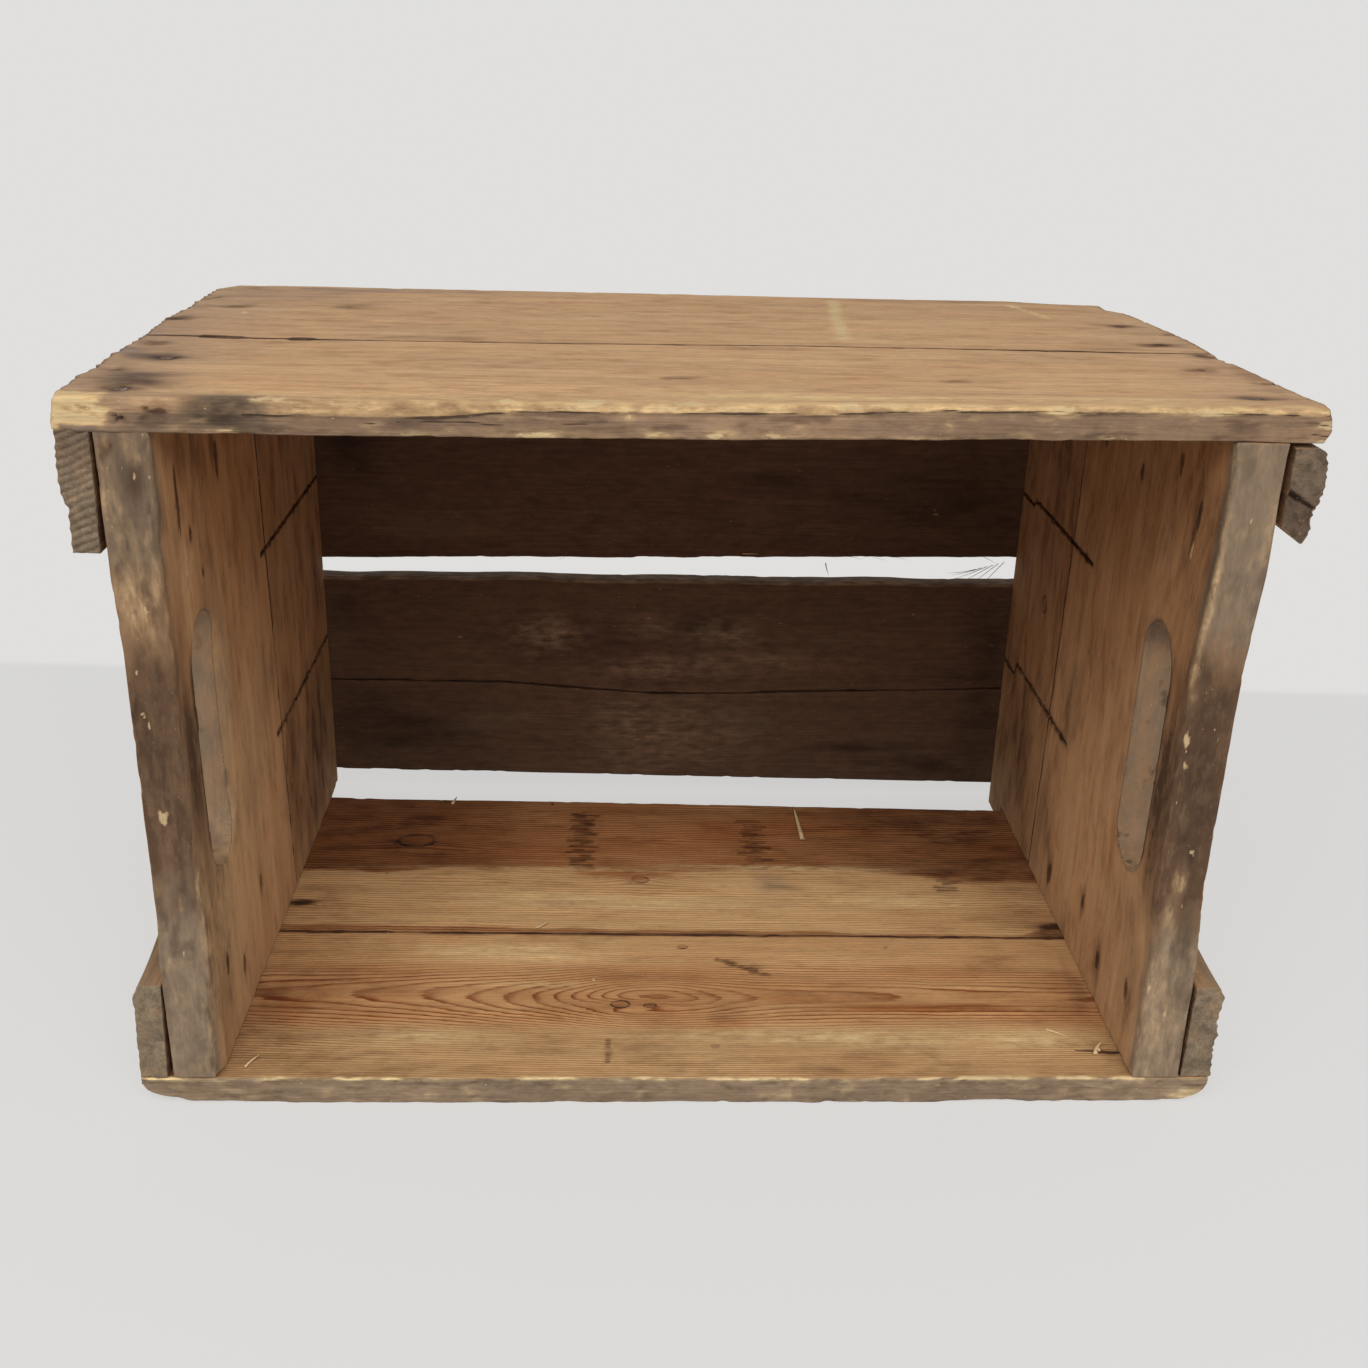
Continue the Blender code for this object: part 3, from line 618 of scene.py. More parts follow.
def floor_front(board, inside, seed):
    """The front floor board: nested arches of growth rings round a small knot."""
    x, depth = board.x, board.depth
    wear_lower_front(board)
    knots = ((at(-27, 56, 0), (4.2, 2.9, 30), 2.0), (at(-13, 55, 0), (3.0, 1.8, 30), 1.5),
             (at(3.6, 105, 0), (2.7, 2.0, 30), 0.4), (at(15.6, 23.7, 0), (2.0, 1.5, 30), 0.3))
    pith = at(-24, 62, -20)
    board.grow(pith, 1.35, dive=(0.17, 0.035), wander=1.3, seed=seed, knots=knots)
    swirl = ((x + 14) / 34) ** 2 + ((depth - 60) / 14) ** 2
    board.marks["ring"] -= 3.5 * np.exp(-swirl)
    board.marks["heart"] += 0.2 + 0.1 * ease(-x, 100, INNER_FACE)
    board.paint("heart", 0.55 * inside * between(depth, 28, 46, 82, 98))
    board.blots(
        inside, ON_TOP,
        heart=((120, 54, 100, 5.5, 1.1), (60, 60, 60, 10, 0.8), (-60, 63, 70, 10, 0.7),
               (-130, 62, 60, 12, 0.9), (-180, 50, 30, 26, 0.7), (20, 42, 30, 14, 0.8)),
        stain=((120, 54, 100, 4.0, 0.22), (-150, 20, 50, 10, 0.25), (60, 64, 30, 5, 0.2),
               (120, 40, 50, 6, 0.15), (160, 95, 14, 6, 0.3), (-190, 60, 14, 36, 0.4),
               (192, 70, 9, 44, 0.35), (36, 88, 11, 3, 0.6), (-32, 22, 4, 12, 0.6),
               (0, 4, 190, 4, 0.2), (192, 20, 12, 3.2, 1.2), (0, 10, 70, 4, 0.35),
               (60, 8, 30, 5, 0.5), (-13, 55, 5, 3, 0.5), (22, 50, 12, 10, 0.3),
               (105, 106, 1.6, 1.4, 0.9)),
        pale=((-75, 100, 60, 10, 0.5), (60, 30, 90, 9, 0.5), (160, 30, 40, 9, 0.5),
              (-70, 72, 40, 3, 0.35), (-110, 30, 50, 7, 0.4)),
        bare=((-40, 76, 2, 2, 0.9), (190, 31, 3, 1.3, 0.9), (-60, 84, 2, 1.6, 0.9)),
    )
    board.split(inside, ON_TOP, ((-32.6, 29), (-32, 22)), 0.8, 0.2, "stain")
    board.split(inside, ON_TOP, ((-32.2, 19), (-32.6, 12)), 0.8, 0.2, "stain")
    board.split(inside, ON_TOP, ((178, 21.6), (188, 20.6), (197.5, 19.5)), 0.8, 0.3)
    board.split(inside, ON_TOP, ((1, 106), (2, 104.2), (4.5, 103.8), (6.3, 105.5)), 0.4)
    board.split(inside, ON_TOP, ((14, 24.5), (14.6, 23), (16.5, 23), (17.3, 24.4)), 0.3)
    for start in ((20, 94), (25, 90.5), (31, 87.5), (36, 84)):
        stop = (start[0] + 8, start[1] - 2.4)
        board.split(inside, ON_TOP, (start, stop), 0.9, 0.25, "stain")


def floor_back(board, inside, seed):
    """The rear floor board: pale straight-grained sapwood, and brown heartwood behind."""
    x, depth = board.x, board.depth
    knots = ((at(-141, 207, 0), (9.5, 6.5, 30), 2.6), (at(-17, 169, 0), (4.4, 3.0, 30), 2.6))
    board.grow(at(0, 560, -120), 2.1, wander=2.8, seed=seed, knots=knots)
    limit = 181 + 4 * board.vary((90, 0, 0), seed + 6) + 2.5 * board.vary((22, 5, 0), seed + 7)
    limit = limit - 8 * ease(x, 100, 160) - 6 * ease(-x, 110, 170)
    heart = ease(depth - limit + 8 * np.exp(-(((x + 17) / 26) ** 2)), -3.5, 3.5)
    board.paint("heart", (0.95 + 0.35 * ease(-x, 40, 190)) * heart)
    board.paint("heart", np.full(len(x), 0.12))
    darker_share = 0.06 + 0.5 * ease(-x, 60, 140) + 0.16 * ease(x, 10, 50) + 0.38 * ease(x, 60, 150)
    board.paint("stain", inside * heart * darker_share)
    seam = np.interp(x, *FLOOR_SEAM)
    wide = 4.2 + 1.2 * board.vary((25, 0, 0), seed + 9) + 8 * ease(x, 170, INNER_FACE)
    beside = inside * (1 - ease(depth - seam, wide - 0.8, wide + 0.8))
    board.paint("stain", beside * (0.34 - 0.14 * ease(x, 20, 60) + 0.45 * ease(x, 175, 190)))
    board.paint("heart", 0.8 * beside)
    for middle, start, stop in ((-49, 180, 246), (47, 182, 241), (-148, 203, 240), (148, 162, 242)):
        for row in range(int((stop - start) / DASH_PITCH)):
            here = start + DASH_PITCH * row
            drift, half = 2.0 * math.sin(1.7 * row + middle), 4.6 + 2.6 * math.sin(2.9 * row)
            dash = ((middle + drift - half, here), (middle + drift + half, here + math.sin(4.1 * row)))
            board.split(inside, ON_TOP, dash, 0.85, mark="stain")
    board.blots(
        inside, ON_TOP,
        heart=((-60, 200, 40, 9, 1.2),),
        grey=((53, 165, 15, 12, 0.8), (145, 160, 9, 9, 0.35)),
        dirt=((-193, 142.5, 9, 4, 0.7), (196, 127, 9, 4, 0.7)),
        stain=((-193, 142.5, 13, 5, 1.2), (195, 127, 14, 5, 1.2), (-49, 226, 12, 28, 0.4),
               (-138, 226, 36, 22, 0.75), (47, 205, 10, 30, 0.35), (-147, 226, 13, 20, 0.35),
               (57, 190, 16, 3, 0.45), (47, 226, 12, 20, 0.25), (-152, 206, 4, 6, 1.0),
               (-100, 252, 9, 3, 0.5), (-146, 201, 9, 2, 0.9), (-150, 213, 8, 2, 0.6),
               (-22, 167, 3, 2, 0.7), (-110, 190, 80, 4, 0.45), (100, 188, 70, 4, 0.4),
               (-70, 225, 30, 3, 0.4), (-158, 196, 28, 5, 0.6), (30, 245, 200, 6, 0.35)),
        rust=((-68, 252, 2, 3, 1.1), (-152.5, 172, 2, 2, 0.9)),
        pale=((-40, 146, 110, 9, 0.45), (-60, 179, 100, 3.5, 0.45), (60, 183, 80, 3.5, 0.5),
              (120, 150, 70, 6, 0.5), (-60, 150, 90, 7, 0.4)),
        bare=((148, 146, 3, 5, 0.75), (-182, 141, 1.6, 1.4, 1.1), (-126, 262, 4, 6, 1.1)),
    )
    rear = np.interp(x, *FLOOR_REAR) - SIDE_DEPTH - 0.5 * np.abs(board.vary((15, 0, 0), seed + 8))
    board.reshape(DEPTH, 1, rear)


def wear_lower_ends(board, seed):
    """Rounds off the outer ends below: the underside rises towards each end along an ellipse."""
    for side, length, height in ((LEFT, 26, 10.0), (RIGHT, 17, 8.8)):
        out = np.clip((board.x * side - (HALF_LENGTH - length)) / length, 0, 1)
        out = np.clip(out + 0.05 * board.vary((0, 20, 0), seed + 4), 0, 1)
        board.reshape(UP, -1, height * (1 - np.sqrt(1 - out * out)))
        board.paint("bare", 0.3 * board.facing(UP, -1) * ease(out, 0.35, 0.8))
        board.paint("rough", 0.7 * ease(out, 0.2, 0.7))


def wear_lower_front(board):
    """The rim edge of the lower side: grey and soft, waved below, with a pale line above."""
    x, depth, up = board.x, board.depth, board.up
    front = board.facing(DEPTH, -1)
    near = 1 - ease(depth, 0, 12)
    board.shift(DEPTH, near * (0.5 + 0.6 * board.vary((45, 0, 0), 81) + 0.25 * board.vary((7, 0, 0), 82)))
    board.reshape(UP, -1, near * np.abs(1.2 * board.vary((34, 0, 0), 83)))
    pits = board.patches((6, 0, 2.5), 84, 0.45, 0.95)
    board.shift(DEPTH, front * pits * 0.6)
    board.paint("grey", front * 1.4)
    board.paint("rough", front * 0.6)
    board.paint("stain", front * 0.3 * pits)
    board.paint("stain", front * 0.22 * board.patches((16, 0, 4), 86, 0.3, 0.9))
    board.paint("pale", front * 0.13 * board.patches((9, 0, 4), 88, 0.3, 0.9))
    board.blots(
        front, IN_FRONT,
        dirt=((-190, -6, 30, 9, 0.35), (120, -10, 40, 4, 0.3), (0, -11, 90, 3.5, 0.35)),
        stain=((-60, -6, 34, 8, 0.3), (70, -7, 24, 8, 0.25), (150, -6, 34, 8, 0.25),
               (226, -4, 8, 1.5, 0.7)),
        pale=((226, -9, 10, 4, 0.9),),
    )
    broken = board.patches((16, 5, 4), 85, -0.15, 0.35)
    arris = (1 - ease(board.edge, 0.5, 1.8)) * ease(up, -2.5, 0) * near
    board.paint("bare", 0.75 * arris * (0.4 + 0.6 * broken) * ease(x, -110, -20))
    board.paint("pale", arris * (0.1 + 0.8 * broken))


# --- Ends --------------------------------------------------------------------------------
HOLE_INSET, HOLE_WIDTH, HOLE_LENGTH = 22 * MM, 38 * MM, 114 * MM
HOLE_MIDDLE = np.array((RIM + HOLE_INSET + HOLE_WIDTH / 2, INNER_LOW + 141.1 * MM))
KERF_HEIGHTS = {LEFT: (94.1, 188.0), RIGHT: (91.4, 188.0)}
KERF_WIDTH, KERF_DEPTH, KERF_START = 2.3, 6.0, 150.5
JOINTS = {LEFT: (161.0, 151.0), RIGHT: (188.0, 178.0)}  # depth of an end's joint below and above


def hole_gap(y, z):
    """Distance to the hand hole's outline, less than 0 inside: a line with round ends."""
    reach = (HOLE_LENGTH - HOLE_WIDTH) / 2
    beyond = np.maximum(np.abs(z - HOLE_MIDDLE[1]) - reach, 0)
    return np.hypot(y - HOLE_MIDDLE[0], beyond) - HOLE_WIDTH / 2


def hole_out(y, z):
    """The way from the hole's spine to a place, in depth and height, of length 1."""
    reach = (HOLE_LENGTH - HOLE_WIDTH) / 2
    spine = np.clip(z, HOLE_MIDDLE[1] - reach, HOLE_MIDDLE[1] + reach)
    way = np.stack((y - HOLE_MIDDLE[0], z - spine), axis=1)
    return way / np.maximum(np.linalg.norm(way, axis=1, keepdims=True), 1e-9)


def end_rulers(node, part, side):
    """Cells of an end board: finer ones round the hand hole, and cuts along each kerf."""
    low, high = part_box(node)
    x = even_ruler(low.x, high.x, 0.0014, 0.003)
    if part == "rim":
        y = ruler((low.y, 0.0006), (low.y + 0.009, 0.0013), (HOLE_MIDDLE[0] - 0.023, 0.001),
                  (HOLE_MIDDLE[0] + 0.036, 0.0018), (high.y - 0.003, 0.0006), (high.y,))
    else:
        y = even_ruler(low.y, high.y, 0.0018)
    hole_low, hole_high = HOLE_MIDDLE[1] - 0.062, HOLE_MIDDLE[1] + 0.062
    z = ruler((low.z, 0.0006), (low.z + 0.003, 0.0016), (hole_low, 0.0012), (hole_high, 0.0016),
              (high.z - 0.003, 0.0006), (high.z,))
    for height in KERF_HEIGHTS[side]:
        cuts = INNER_LOW + (height + np.array((-0.5, 0.0, 0.5)) * KERF_WIDTH) * MM
        z = z[np.min(np.abs(z[:, None] - cuts), axis=1) > 0.0005]
        z = np.sort(np.concatenate((z, cuts)))
    cut = (low.x + KERF_DEPTH * MM) if side == RIGHT else (high.x - KERF_DEPTH * MM)
    x = np.sort(np.append(x[np.abs(x - cut) > 0.0004], cut))
    return x, y, z


def end_air(part, side):
    """Which cells of an end board are air: the hand hole and the divider kerfs."""
    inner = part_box("right_end_base_board")[0].x

    def air(centres):
        x, y, z = centres
        cut = (hole_gap(y, z) < 0) & (part == "rim")
        run_out = KERF_DEPTH * MM * np.sqrt(np.clip(((y - RIM) / MM - KERF_START) / 20, 0, 1))
        for height in KERF_HEIGHTS[side]:
            inside = np.abs((z - INNER_LOW) / MM - height) < KERF_WIDTH / 2
            cut |= inside & (np.abs(x) - inner < run_out)
        return cut

    return air


def shape_hole(board, side):
    """Draws the stepped hole out to its true outline and rolls its two mouths over.

    A point at distance s from the outline and t from the face moves onto a quarter circle of
    the mouth's radius r wherever both are under r: the same ball rule as at the outer edges."""
    x, y, z = board.rest.T
    gap, way = hole_gap(y, z), hole_out(y, z)
    within = (np.abs(y - HOLE_MIDDLE[0]) < 0.036) & (np.abs(z - HOLE_MIDDLE[1]) < 0.066)
    t = np.minimum(x - board.low[0], board.high[0] - x)
    column = np.round(y / 1e-5).astype(np.int64) * 100000 + np.round(z / 1e-5).astype(np.int64)
    walls = np.unique(column[within & (t > 1e-6)])
    on_outline = np.isin(column, walls) & (np.abs(y - HOLE_MIDDLE[0]) < 0.0215)
    board.points[:, 1:] += way * np.where(on_outline, -gap, 0.0)[:, None]
    s = np.where(on_outline, 0.0, np.maximum(gap, 0.0003))
    inner = (side * x < (abs(board.low[0]) + abs(board.high[0])) / 2).astype(float)
    rear = ease(way[:, 0], 0.0, 0.9)
    rolled = (9.5 if side == LEFT else 1.0) * inner * rear
    rolled = rolled * (1 - ease(np.abs(z - HOLE_MIDDLE[1]), 0.03, 0.058))
    radius = MM * (1.6 + rolled + 0.4 * board.vary((0, 0, 20), 91))
    curved = within & (s < radius) & (t < radius)
    a, b = radius - s, radius - t
    length = np.maximum(np.hypot(a, b), 1e-9)
    move_s = np.where(curved, radius - radius * a / length - s, 0.0)
    move_t = np.where(curved, radius - radius * b / length - t, 0.0)
    towards = np.where(x - board.low[0] < board.high[0] - x, 1.0, -1.0)
    board.points[:, 1:] += way * move_s[:, None]
    board.points[:, 0] += towards * move_t
    board.hole_wall = np.where(on_outline, 1.0, 0.0)
    board.hole_near = np.where(within, 1 - ease(gap, 0.0, 0.009 if side == LEFT else 0.006), 0.0)
    board.hole_rear = within * rear
    board.edge = np.where(within, np.minimum(board.edge, np.maximum(s, t) / MM), board.edge)


# Down the rim edge of an end: heights in mm, how grey and how dirty the wood is there.
RIM_TONES = {
    LEFT: ((0, 75, 93, 110, 190, 203, 215, 236, 250, 281),
           (1.4, 1.3, 0.8, 0.4, 0.4, 0.4, 0.5, 0.9, 1.3, 1.3),
           (0.05, 0.12, 0.6, 0.92, 0.9, 0.62, 0.45, 0.42, 0.45, 0.45)),
    RIGHT: ((0, 60, 72, 90, 185, 198, 212, 281), (1.4, 1.2, 0.8, 0.4, 0.4, 0.8, 1.3, 1.4),
            (0.0, 0.05, 0.45, 1.0, 0.97, 0.5, 0.22, 0.22)),
}
IRON_STAINS = {  # the cleats' nails inside: depth, height, then the reach across and up
    LEFT: ((24.6, 250, 4.5, 22), (84, 250, 5.0, 16), (36.5, 231.6, 4.0, 6), (49, 212, 3, 5),
           (26, 41, 4.5, 9), (52, 24, 4.5, 10), (92, 44, 3, 7), (210, 24, 4, 8)),
    RIGHT: ((150, 17, 7, 13), (93, 34, 4, 10), (63, 20, 4.5, 12), (22, 31, 5, 9), (52, 262, 4, 11),
            (96, 247, 5, 8), (26, 250, 5, 14), (150, 250, 4, 9)),
}
END_MARKS = {
    LEFT: dict(
        grey=((60, 146, 22, 70, 0.75), (30, 50, 30, 40, 0.4), (80, 96, 40, 30, 0.4)),
        # The dirt at depth 27, height 84 is a painted shadow at the lower front of the hand hole.
        dirt=((10, 145, 15, 74, 1.1), (27, 84, 14, 10, 0.5)),
        stain=((45, 268, 46, 26, 0.55), (110, 264, 40, 30, 0.5), (79.5, 255, 8, 14, 0.7),
               (132, 190, 14, 60, 0.3), (100, 130, 9, 60, 0.2), (62, 205, 12, 50, 0.25),
               (210, 240, 70, 50, 0.5), (230, 55, 70, 80, 0.7), (174, 75, 34, 84, 0.74),
               (274, 60, 20, 50, 0.5), (262, 132, 28, 60, 0.7), (18, 70, 34, 90, 0.62),
               (132, 128, 40, 40, 0.36), (16, 266, 5, 16, 0.5)),
        pale=((68, 140, 24, 80, 0.25), (25, 215, 14, 26, 0.6), (14, 235, 8, 44, 0.3),
              (50, 60, 70, 60, 0.7), (110, 110, 50, 60, 0.4)),
        bare=((46, 145, 1.3, 2, 0.9), (47, 128, 1.3, 1.6, 0.9), (47, 102, 2, 2, 0.9),
              (92, 92, 1.6, 2, 0.9), (95, 82, 2, 3, 0.9), (97, 66, 2, 2, 0.9),
              (86, 60, 1.4, 2, 0.8), (170, 58, 2, 4, 0.9), (168, 44, 1.6, 2.4, 0.9),
              (60, 120, 1.2, 1.6, 0.8), (75, 104, 1.4, 1.8, 0.8), (120, 30, 2, 2, 0.8),
              (112, 176, 3, 3, 0.8), (92, 71, 3, 3, 0.8), (78, 58, 3, 3, 0.8)),
    ),
    RIGHT: dict(
        heart=((62, 88, 8, 50, 1.0),),
        dirt=((9, 130, 15, 84, 0.95), (12, 140, 14, 60, 1.1), (26, 60, 24, 34, 0.3)),
        stain=((30, 238, 20, 34, 0.7), (70, 268, 70, 22, 0.5), (125, 268, 40, 26, 0.5),
               (95, 225, 50, 50, 0.25), (160, 120, 12, 60, 0.3), (66, 215, 10, 14, 0.35),
               (240, 255, 50, 36, 0.25), (235, 55, 60, 80, 0.62), (172, 40, 36, 50, 0.55),
               (150, 120, 34, 50, 0.42), (266, 24, 30, 34, 0.5), (225, 140, 24, 18, 0.55),
               (18, 34, 30, 40, 0.42), (268, 140, 26, 60, 0.3), (45, 196, 20, 9, 0.5),
               (110, 130, 14, 60, 0.12), (97, 158, 3, 3, 0.6), (134, 149, 3, 3, 0.6)),
        bare=((26, 234, 1.5, 6, 1.2), (65, 82, 9, 1.5, 0.6)),
    ),
}

RIM_MARKS = {  # on the rim edge: x, height, reach along both, strength
    LEFT: dict(
        dirt=((-213, 275, 5, 6, 1.2), (-204, 222, 4.5, 8, 1.1), (-205, 263, 11, 22, 0.8),
              (-215, 274, 2, 9, 1.0), (-200, 252, 3, 9, 0.9), (-209, 246, 5, 3, 0.8),
              (-214, 227, 3, 9, 0.8), (-206, 88, 12, 16, 0.7)),
        stain=((-201, 272, 9, 10, 0.4), (-206, 262, 10, 24, 0.4), (-202, 214, 6, 8, 0.6),
               (-200, 245, 7, 12, 0.35), (-209, 150, 12, 30, 0.3)),
        pale=((-215, 256, 4, 18, 0.3), (-210, 240, 9, 10, 0.2), (-208, 217, 12, 20, 0.35)),
        bare=((-209, 125.5, 4, 5.5, 1.0), (-204.5, 265, 1.5, 2.2, 1.0),
              (-199, 264.5, 1.2, 2.2, 1.0), (-210, 166, 1.2, 2.5, 1.0), (-213, 188, 1.2, 3, 1.0)),
    ),
    RIGHT: dict(
        dirt=((206, 112, 9, 12, 1.1), (198, 122, 8, 12, 1.1)),
        stain=((200, 193, 9, 8, 0.45), (212, 70, 6, 20, 0.4), (206, 222, 8, 26, 0.15),
               (206, 150, 12, 40, 0.3)),
        pale=((207, 98, 3, 9, 0.7), (197, 190, 5, 12, 0.4), (204, 84, 2.4, 7, 0.45),
              (204, 30, 14, 44, 0.22)),
        bare=((200, 164, 2, 6, 0.9), (208, 104, 1.2, 4, 0.7), (201, 152, 1.6, 5, 0.9),
              (205, 92, 1, 3, 0.8), (209, 88, 1, 3, 0.7)),
    ),
}


def ends():
    """The two ends: thick boards with the grain upright, darker inside towards the top and the rear with
    dirt and painted shade, and worn at the rim.
    """
    for side, part in itertools.product((LEFT, RIGHT), ("rim", "base")):
        end_board(side, part)


def end_board(side, part):
    """One board of an end."""
    node = f"{SIDE_NAMES[side]}_end_{part}_board"
    seed = 101 + 7 * (side > 0) + 3 * (part == "base")
    board = Timber(node, UP, end_rulers(node, part, side), end_air(part, side))
    x, depth, up = board.x, board.depth, board.up
    radius = chipped_radius(board, 0.7, 1.2, seed)
    if part == "rim":
        inner = (1 - ease(side * x, 203, 209)) * ease(up, 2, 6)
        rolled = inner * (1 - ease(depth, 6, 11))
        radius = radius + rolled * (1.7 + 0.9 * board.vary((0, 0, 30), seed + 6))
        radius = radius * (1 - 0.75 * ease(up, 276, 280))
    board.soften(radius)
    weather(board, 0.1, seed)
    board.hole_wall = board.hole_near = board.hole_rear = np.zeros(len(x))
    if part == "rim":
        shape_hole(board, side)
    below, above = JOINTS[side]
    joint = np.interp(up, (0.3, 281.8), (below, above))
    ragged = 0.25 * np.abs(board.vary((0, 0, 20), seed + 2))
    inside = board.facing(ALONG, -side)
    # Dirt and painted shade: the inner face is stained darker towards the top, on the rear board and on the
    # right end, and browner towards the top and the rear.
    darker_share = 0.05 + 0.27 * ease(up, 60, 281) + 0.22 * (part == "base")
    darker_share = darker_share + (side > 0) * (0.07 + 0.12 * ease(up, 170, 281))
    board.paint("heart", 0.1 + 0.7 * ease(up + 60 * (part == "base"), 60, 230))
    board.paint("stain", inside * darker_share)
    clear = ease(up, 120, 165) if side == LEFT else 1.0
    if part == "rim":
        board.reshape(DEPTH, 1, joint - (board.high[1] - RIM) / MM - ragged)
        board.reshape(UP, 1, 1.9 * (side > 0) * (1 - ease(depth, 2, 30)))
        # Painted shade: the rear face, inside the joint with the base board, is darkened as a deep gap
        # would be.
        board.paint("stain", 0.95 * ease(board.out[:, 1], 0.2, 0.6))
        wear_end_rim(board, side)
        board.grow(at(200 * side, -120, 140), 6.0, seed=seed, wander=4.0)
    else:
        board.reshape(DEPTH, -1, joint + 0.5 - (board.low[1] - RIM) / MM + ragged)
        board.reshape(UP, -1, -11 * (side > 0) * ease(depth, 255.5, 258))
        # Painted shade: the front face, inside the joint with the rim board, is darkened as a deep gap
        # would be.
        board.paint("stain", 0.95 * ease(-board.out[:, 1], 0.2, 0.6))
        knots = ((at(197, 218, 142), (30, 4.5, 4.5), 2.6),) if side == RIGHT else ()
        board.grow(at(140 * side, 470, 140), 6.0, seed=seed, wander=4.0, knots=knots)
    edge_gap = np.abs(depth - ((board.high if part == "rim" else board.low)[1] - RIM) / MM)
    board.line(inside * clear, edge_gap / (0.7 + 0.5 * board.vary((0, 0, 12), seed + 8)))
    soil_inside(board, side, inside)
    bow_end(board, side)
    board.piece("end")


def bow_end(board, side):
    """Bows an end as old boards do: the right one leans in along the middle of its rim, and
    the left one's outer rim corner is worn back there."""
    front = 1 - ease(board.depth, 10, 185)
    if side == RIGHT:
        board.shift(ALONG, -3.0 * ease(board.up, 50, 100) * (1 - ease(board.up, 185, 250)) * front)
        outer = ease(board.x, 199, 217.6) * (1 - ease(board.depth, 10, 60))
        board.shift(ALONG, -0.9 * ease(board.up, 225, 255) * outer)
    else:
        outer = ease(-board.x, 205, 217.6) * (1 - ease(board.depth, 4, 40))
        board.shift(ALONG, 1.2 * between(board.up, 55, 80, 195, 225) * outer)


def soil_inside(board, side, inside):
    """The inner face of an end: iron stains at the nails, dirt above, and dark saw kerfs."""
    up = board.up
    for depth, height, across, tall in IRON_STAINS[side]:
        board.blots(
            inside, INSIDE_END,
            stain=((depth, height, 2.0 * across, 1.6 * tall, 0.6),),
            rust=((depth, height, across, tall, 0.9),),
        )
    board.blots(inside, INSIDE_END, **END_MARKS[side])
    for height in KERF_HEIGHTS[side]:
        near = np.abs(up - height)
        start = ease(board.depth, KERF_START - 3, KERF_START + 4)
        ragged = np.maximum(1.0 + 2.0 * board.vary((0, 3, 0), 93), 0.1)
        board.line(inside * start, near / ragged)
        board.paint("stain", 0.5 * inside * start * (1 - ease(near, 1.5, 4)))
        within = between(side * board.x - INNER_FACE, 0.3, 0.8, 7, 8) * (near < 1.4) * start
        board.paint("stain", 0.7 * within)


def wear_end_rim(board, side):
    """The rim edge of an end: bands of grey and dark brown, pale flecks, a waved inner arris that is pale
    high up, with worn wood and a painted highlight; and the hand hole behind it, polished grey by hands on
    its rear wall."""
    x, depth, up = board.x, board.depth, board.up
    front = board.facing(DEPTH, -1)
    near = 1 - ease(depth, 0, 10)
    wave = 0.4 + 0.5 * board.vary((0, 0, 45), 111 + side) + 0.25 * board.vary((0, 0, 8), 112)
    board.shift(DEPTH, near * wave)
    inner_share = 1 - ease(side * x, INNER_FACE, 205)
    waved = 0.6 * (1 + board.vary((0, 0, 12), 113 + side))
    if side == LEFT:
        waved = waved + 1.0 * between(up, 205, 222, 238, 255) + 1.6 * (1 - ease(up, 30, 60))
    board.shift(ALONG, side * near * inner_share * waved)
    heights, grey, dirt = RIM_TONES[side]
    ragged = up + 8 * board.vary((6, 0, 30), 114)
    rim_skin = np.maximum(front, near * inner_share * 0.9)
    grey_share = np.interp(ragged, heights, grey)
    board.paint("grey", rim_skin * grey_share)
    board.paint("dirt", rim_skin * np.interp(ragged, heights, dirt))
    board.paint("rough", rim_skin * (0.65 + 0.2 * board.vary((20, 0, 30), 118)))
    much = 0.36 if side == LEFT else 0.26
    board.paint("stain", front * much * board.patches((6, 0, 11), 119, 0.15, 0.8))
    board.paint("pale", front * 0.16 * board.patches((5, 0, 9), 121, 0.2, 0.8) * ease(grey_share, 0.5, 1.1))
    flecks = board.patches((2.5, 3, 5), 115 + side, 0.85, 1.05)
    board.paint("bare", front * flecks * 0.7)
    board.blots(front, IN_FRONT, **RIM_MARKS[side])
    arris = 1 - ease(board.edge, 1.0, 3.0)
    bright = board.patches((10, 10, 14), 116 + side, 0.1, 0.6) * board.patches((4, 4, 5), 122, -0.4, 0.5)
    high_up = (0.6 if side == RIGHT else 0.2) * ease(up, 178, 192) + 0.3 * (1 - ease(up, 60, 90))
    board.paint("bare", near * arris * inner_share * (0.1 + 0.3 * bright) * high_up)
    # Worn wood and a painted highlight: a pale band along the wide rounded inner arris, high up.
    wide_arris = 1 - ease(board.edge, 1.2, 3.6)
    board.paint("pale", near * wide_arris * inner_share * high_up * (0.4 + 0.6 * bright))
    wear_hole(board, side)


def wear_hole(board, side):
    """The hand hole: its rear wall polished grey, its front wall and the face before it darker."""
    wall, up = board.hole_wall, board.up
    rear = ease(board.depth, 41, 53)
    spread = board.hole_rear * board.hole_near
    board.paint("grey", np.maximum(wall, spread * (0.75 if side == LEFT else 0.4)) * (0.5 + 0.3 * rear))
    # The front half of the hole's wall is darkened.
    board.paint("dirt", wall * (0.06 + 0.64 * (1 - rear) * between(up, 92, 104, 184, 196)))
    board.paint("rough", wall * 0.15)
    pits = board.patches((5, 4, 8), 117, 0.55, 0.85)
    board.paint("stain", wall * pits * (0.3 if side == LEFT else 0.6))
    inside = board.facing(ALONG, -side)
    if side == RIGHT:
        # Painted shadow over the top of the right hand hole.
        board.paint("stain", board.hole_near * ease(up, 172, 192) * 0.5)
        board.paint("heart", board.hole_near * board.hole_rear)
    # The face just in front of the hole is darkened.
    board.paint("dirt", board.hole_near * inside * (1 - rear) * between(up, 90, 104, 175, 195) * 1.1)


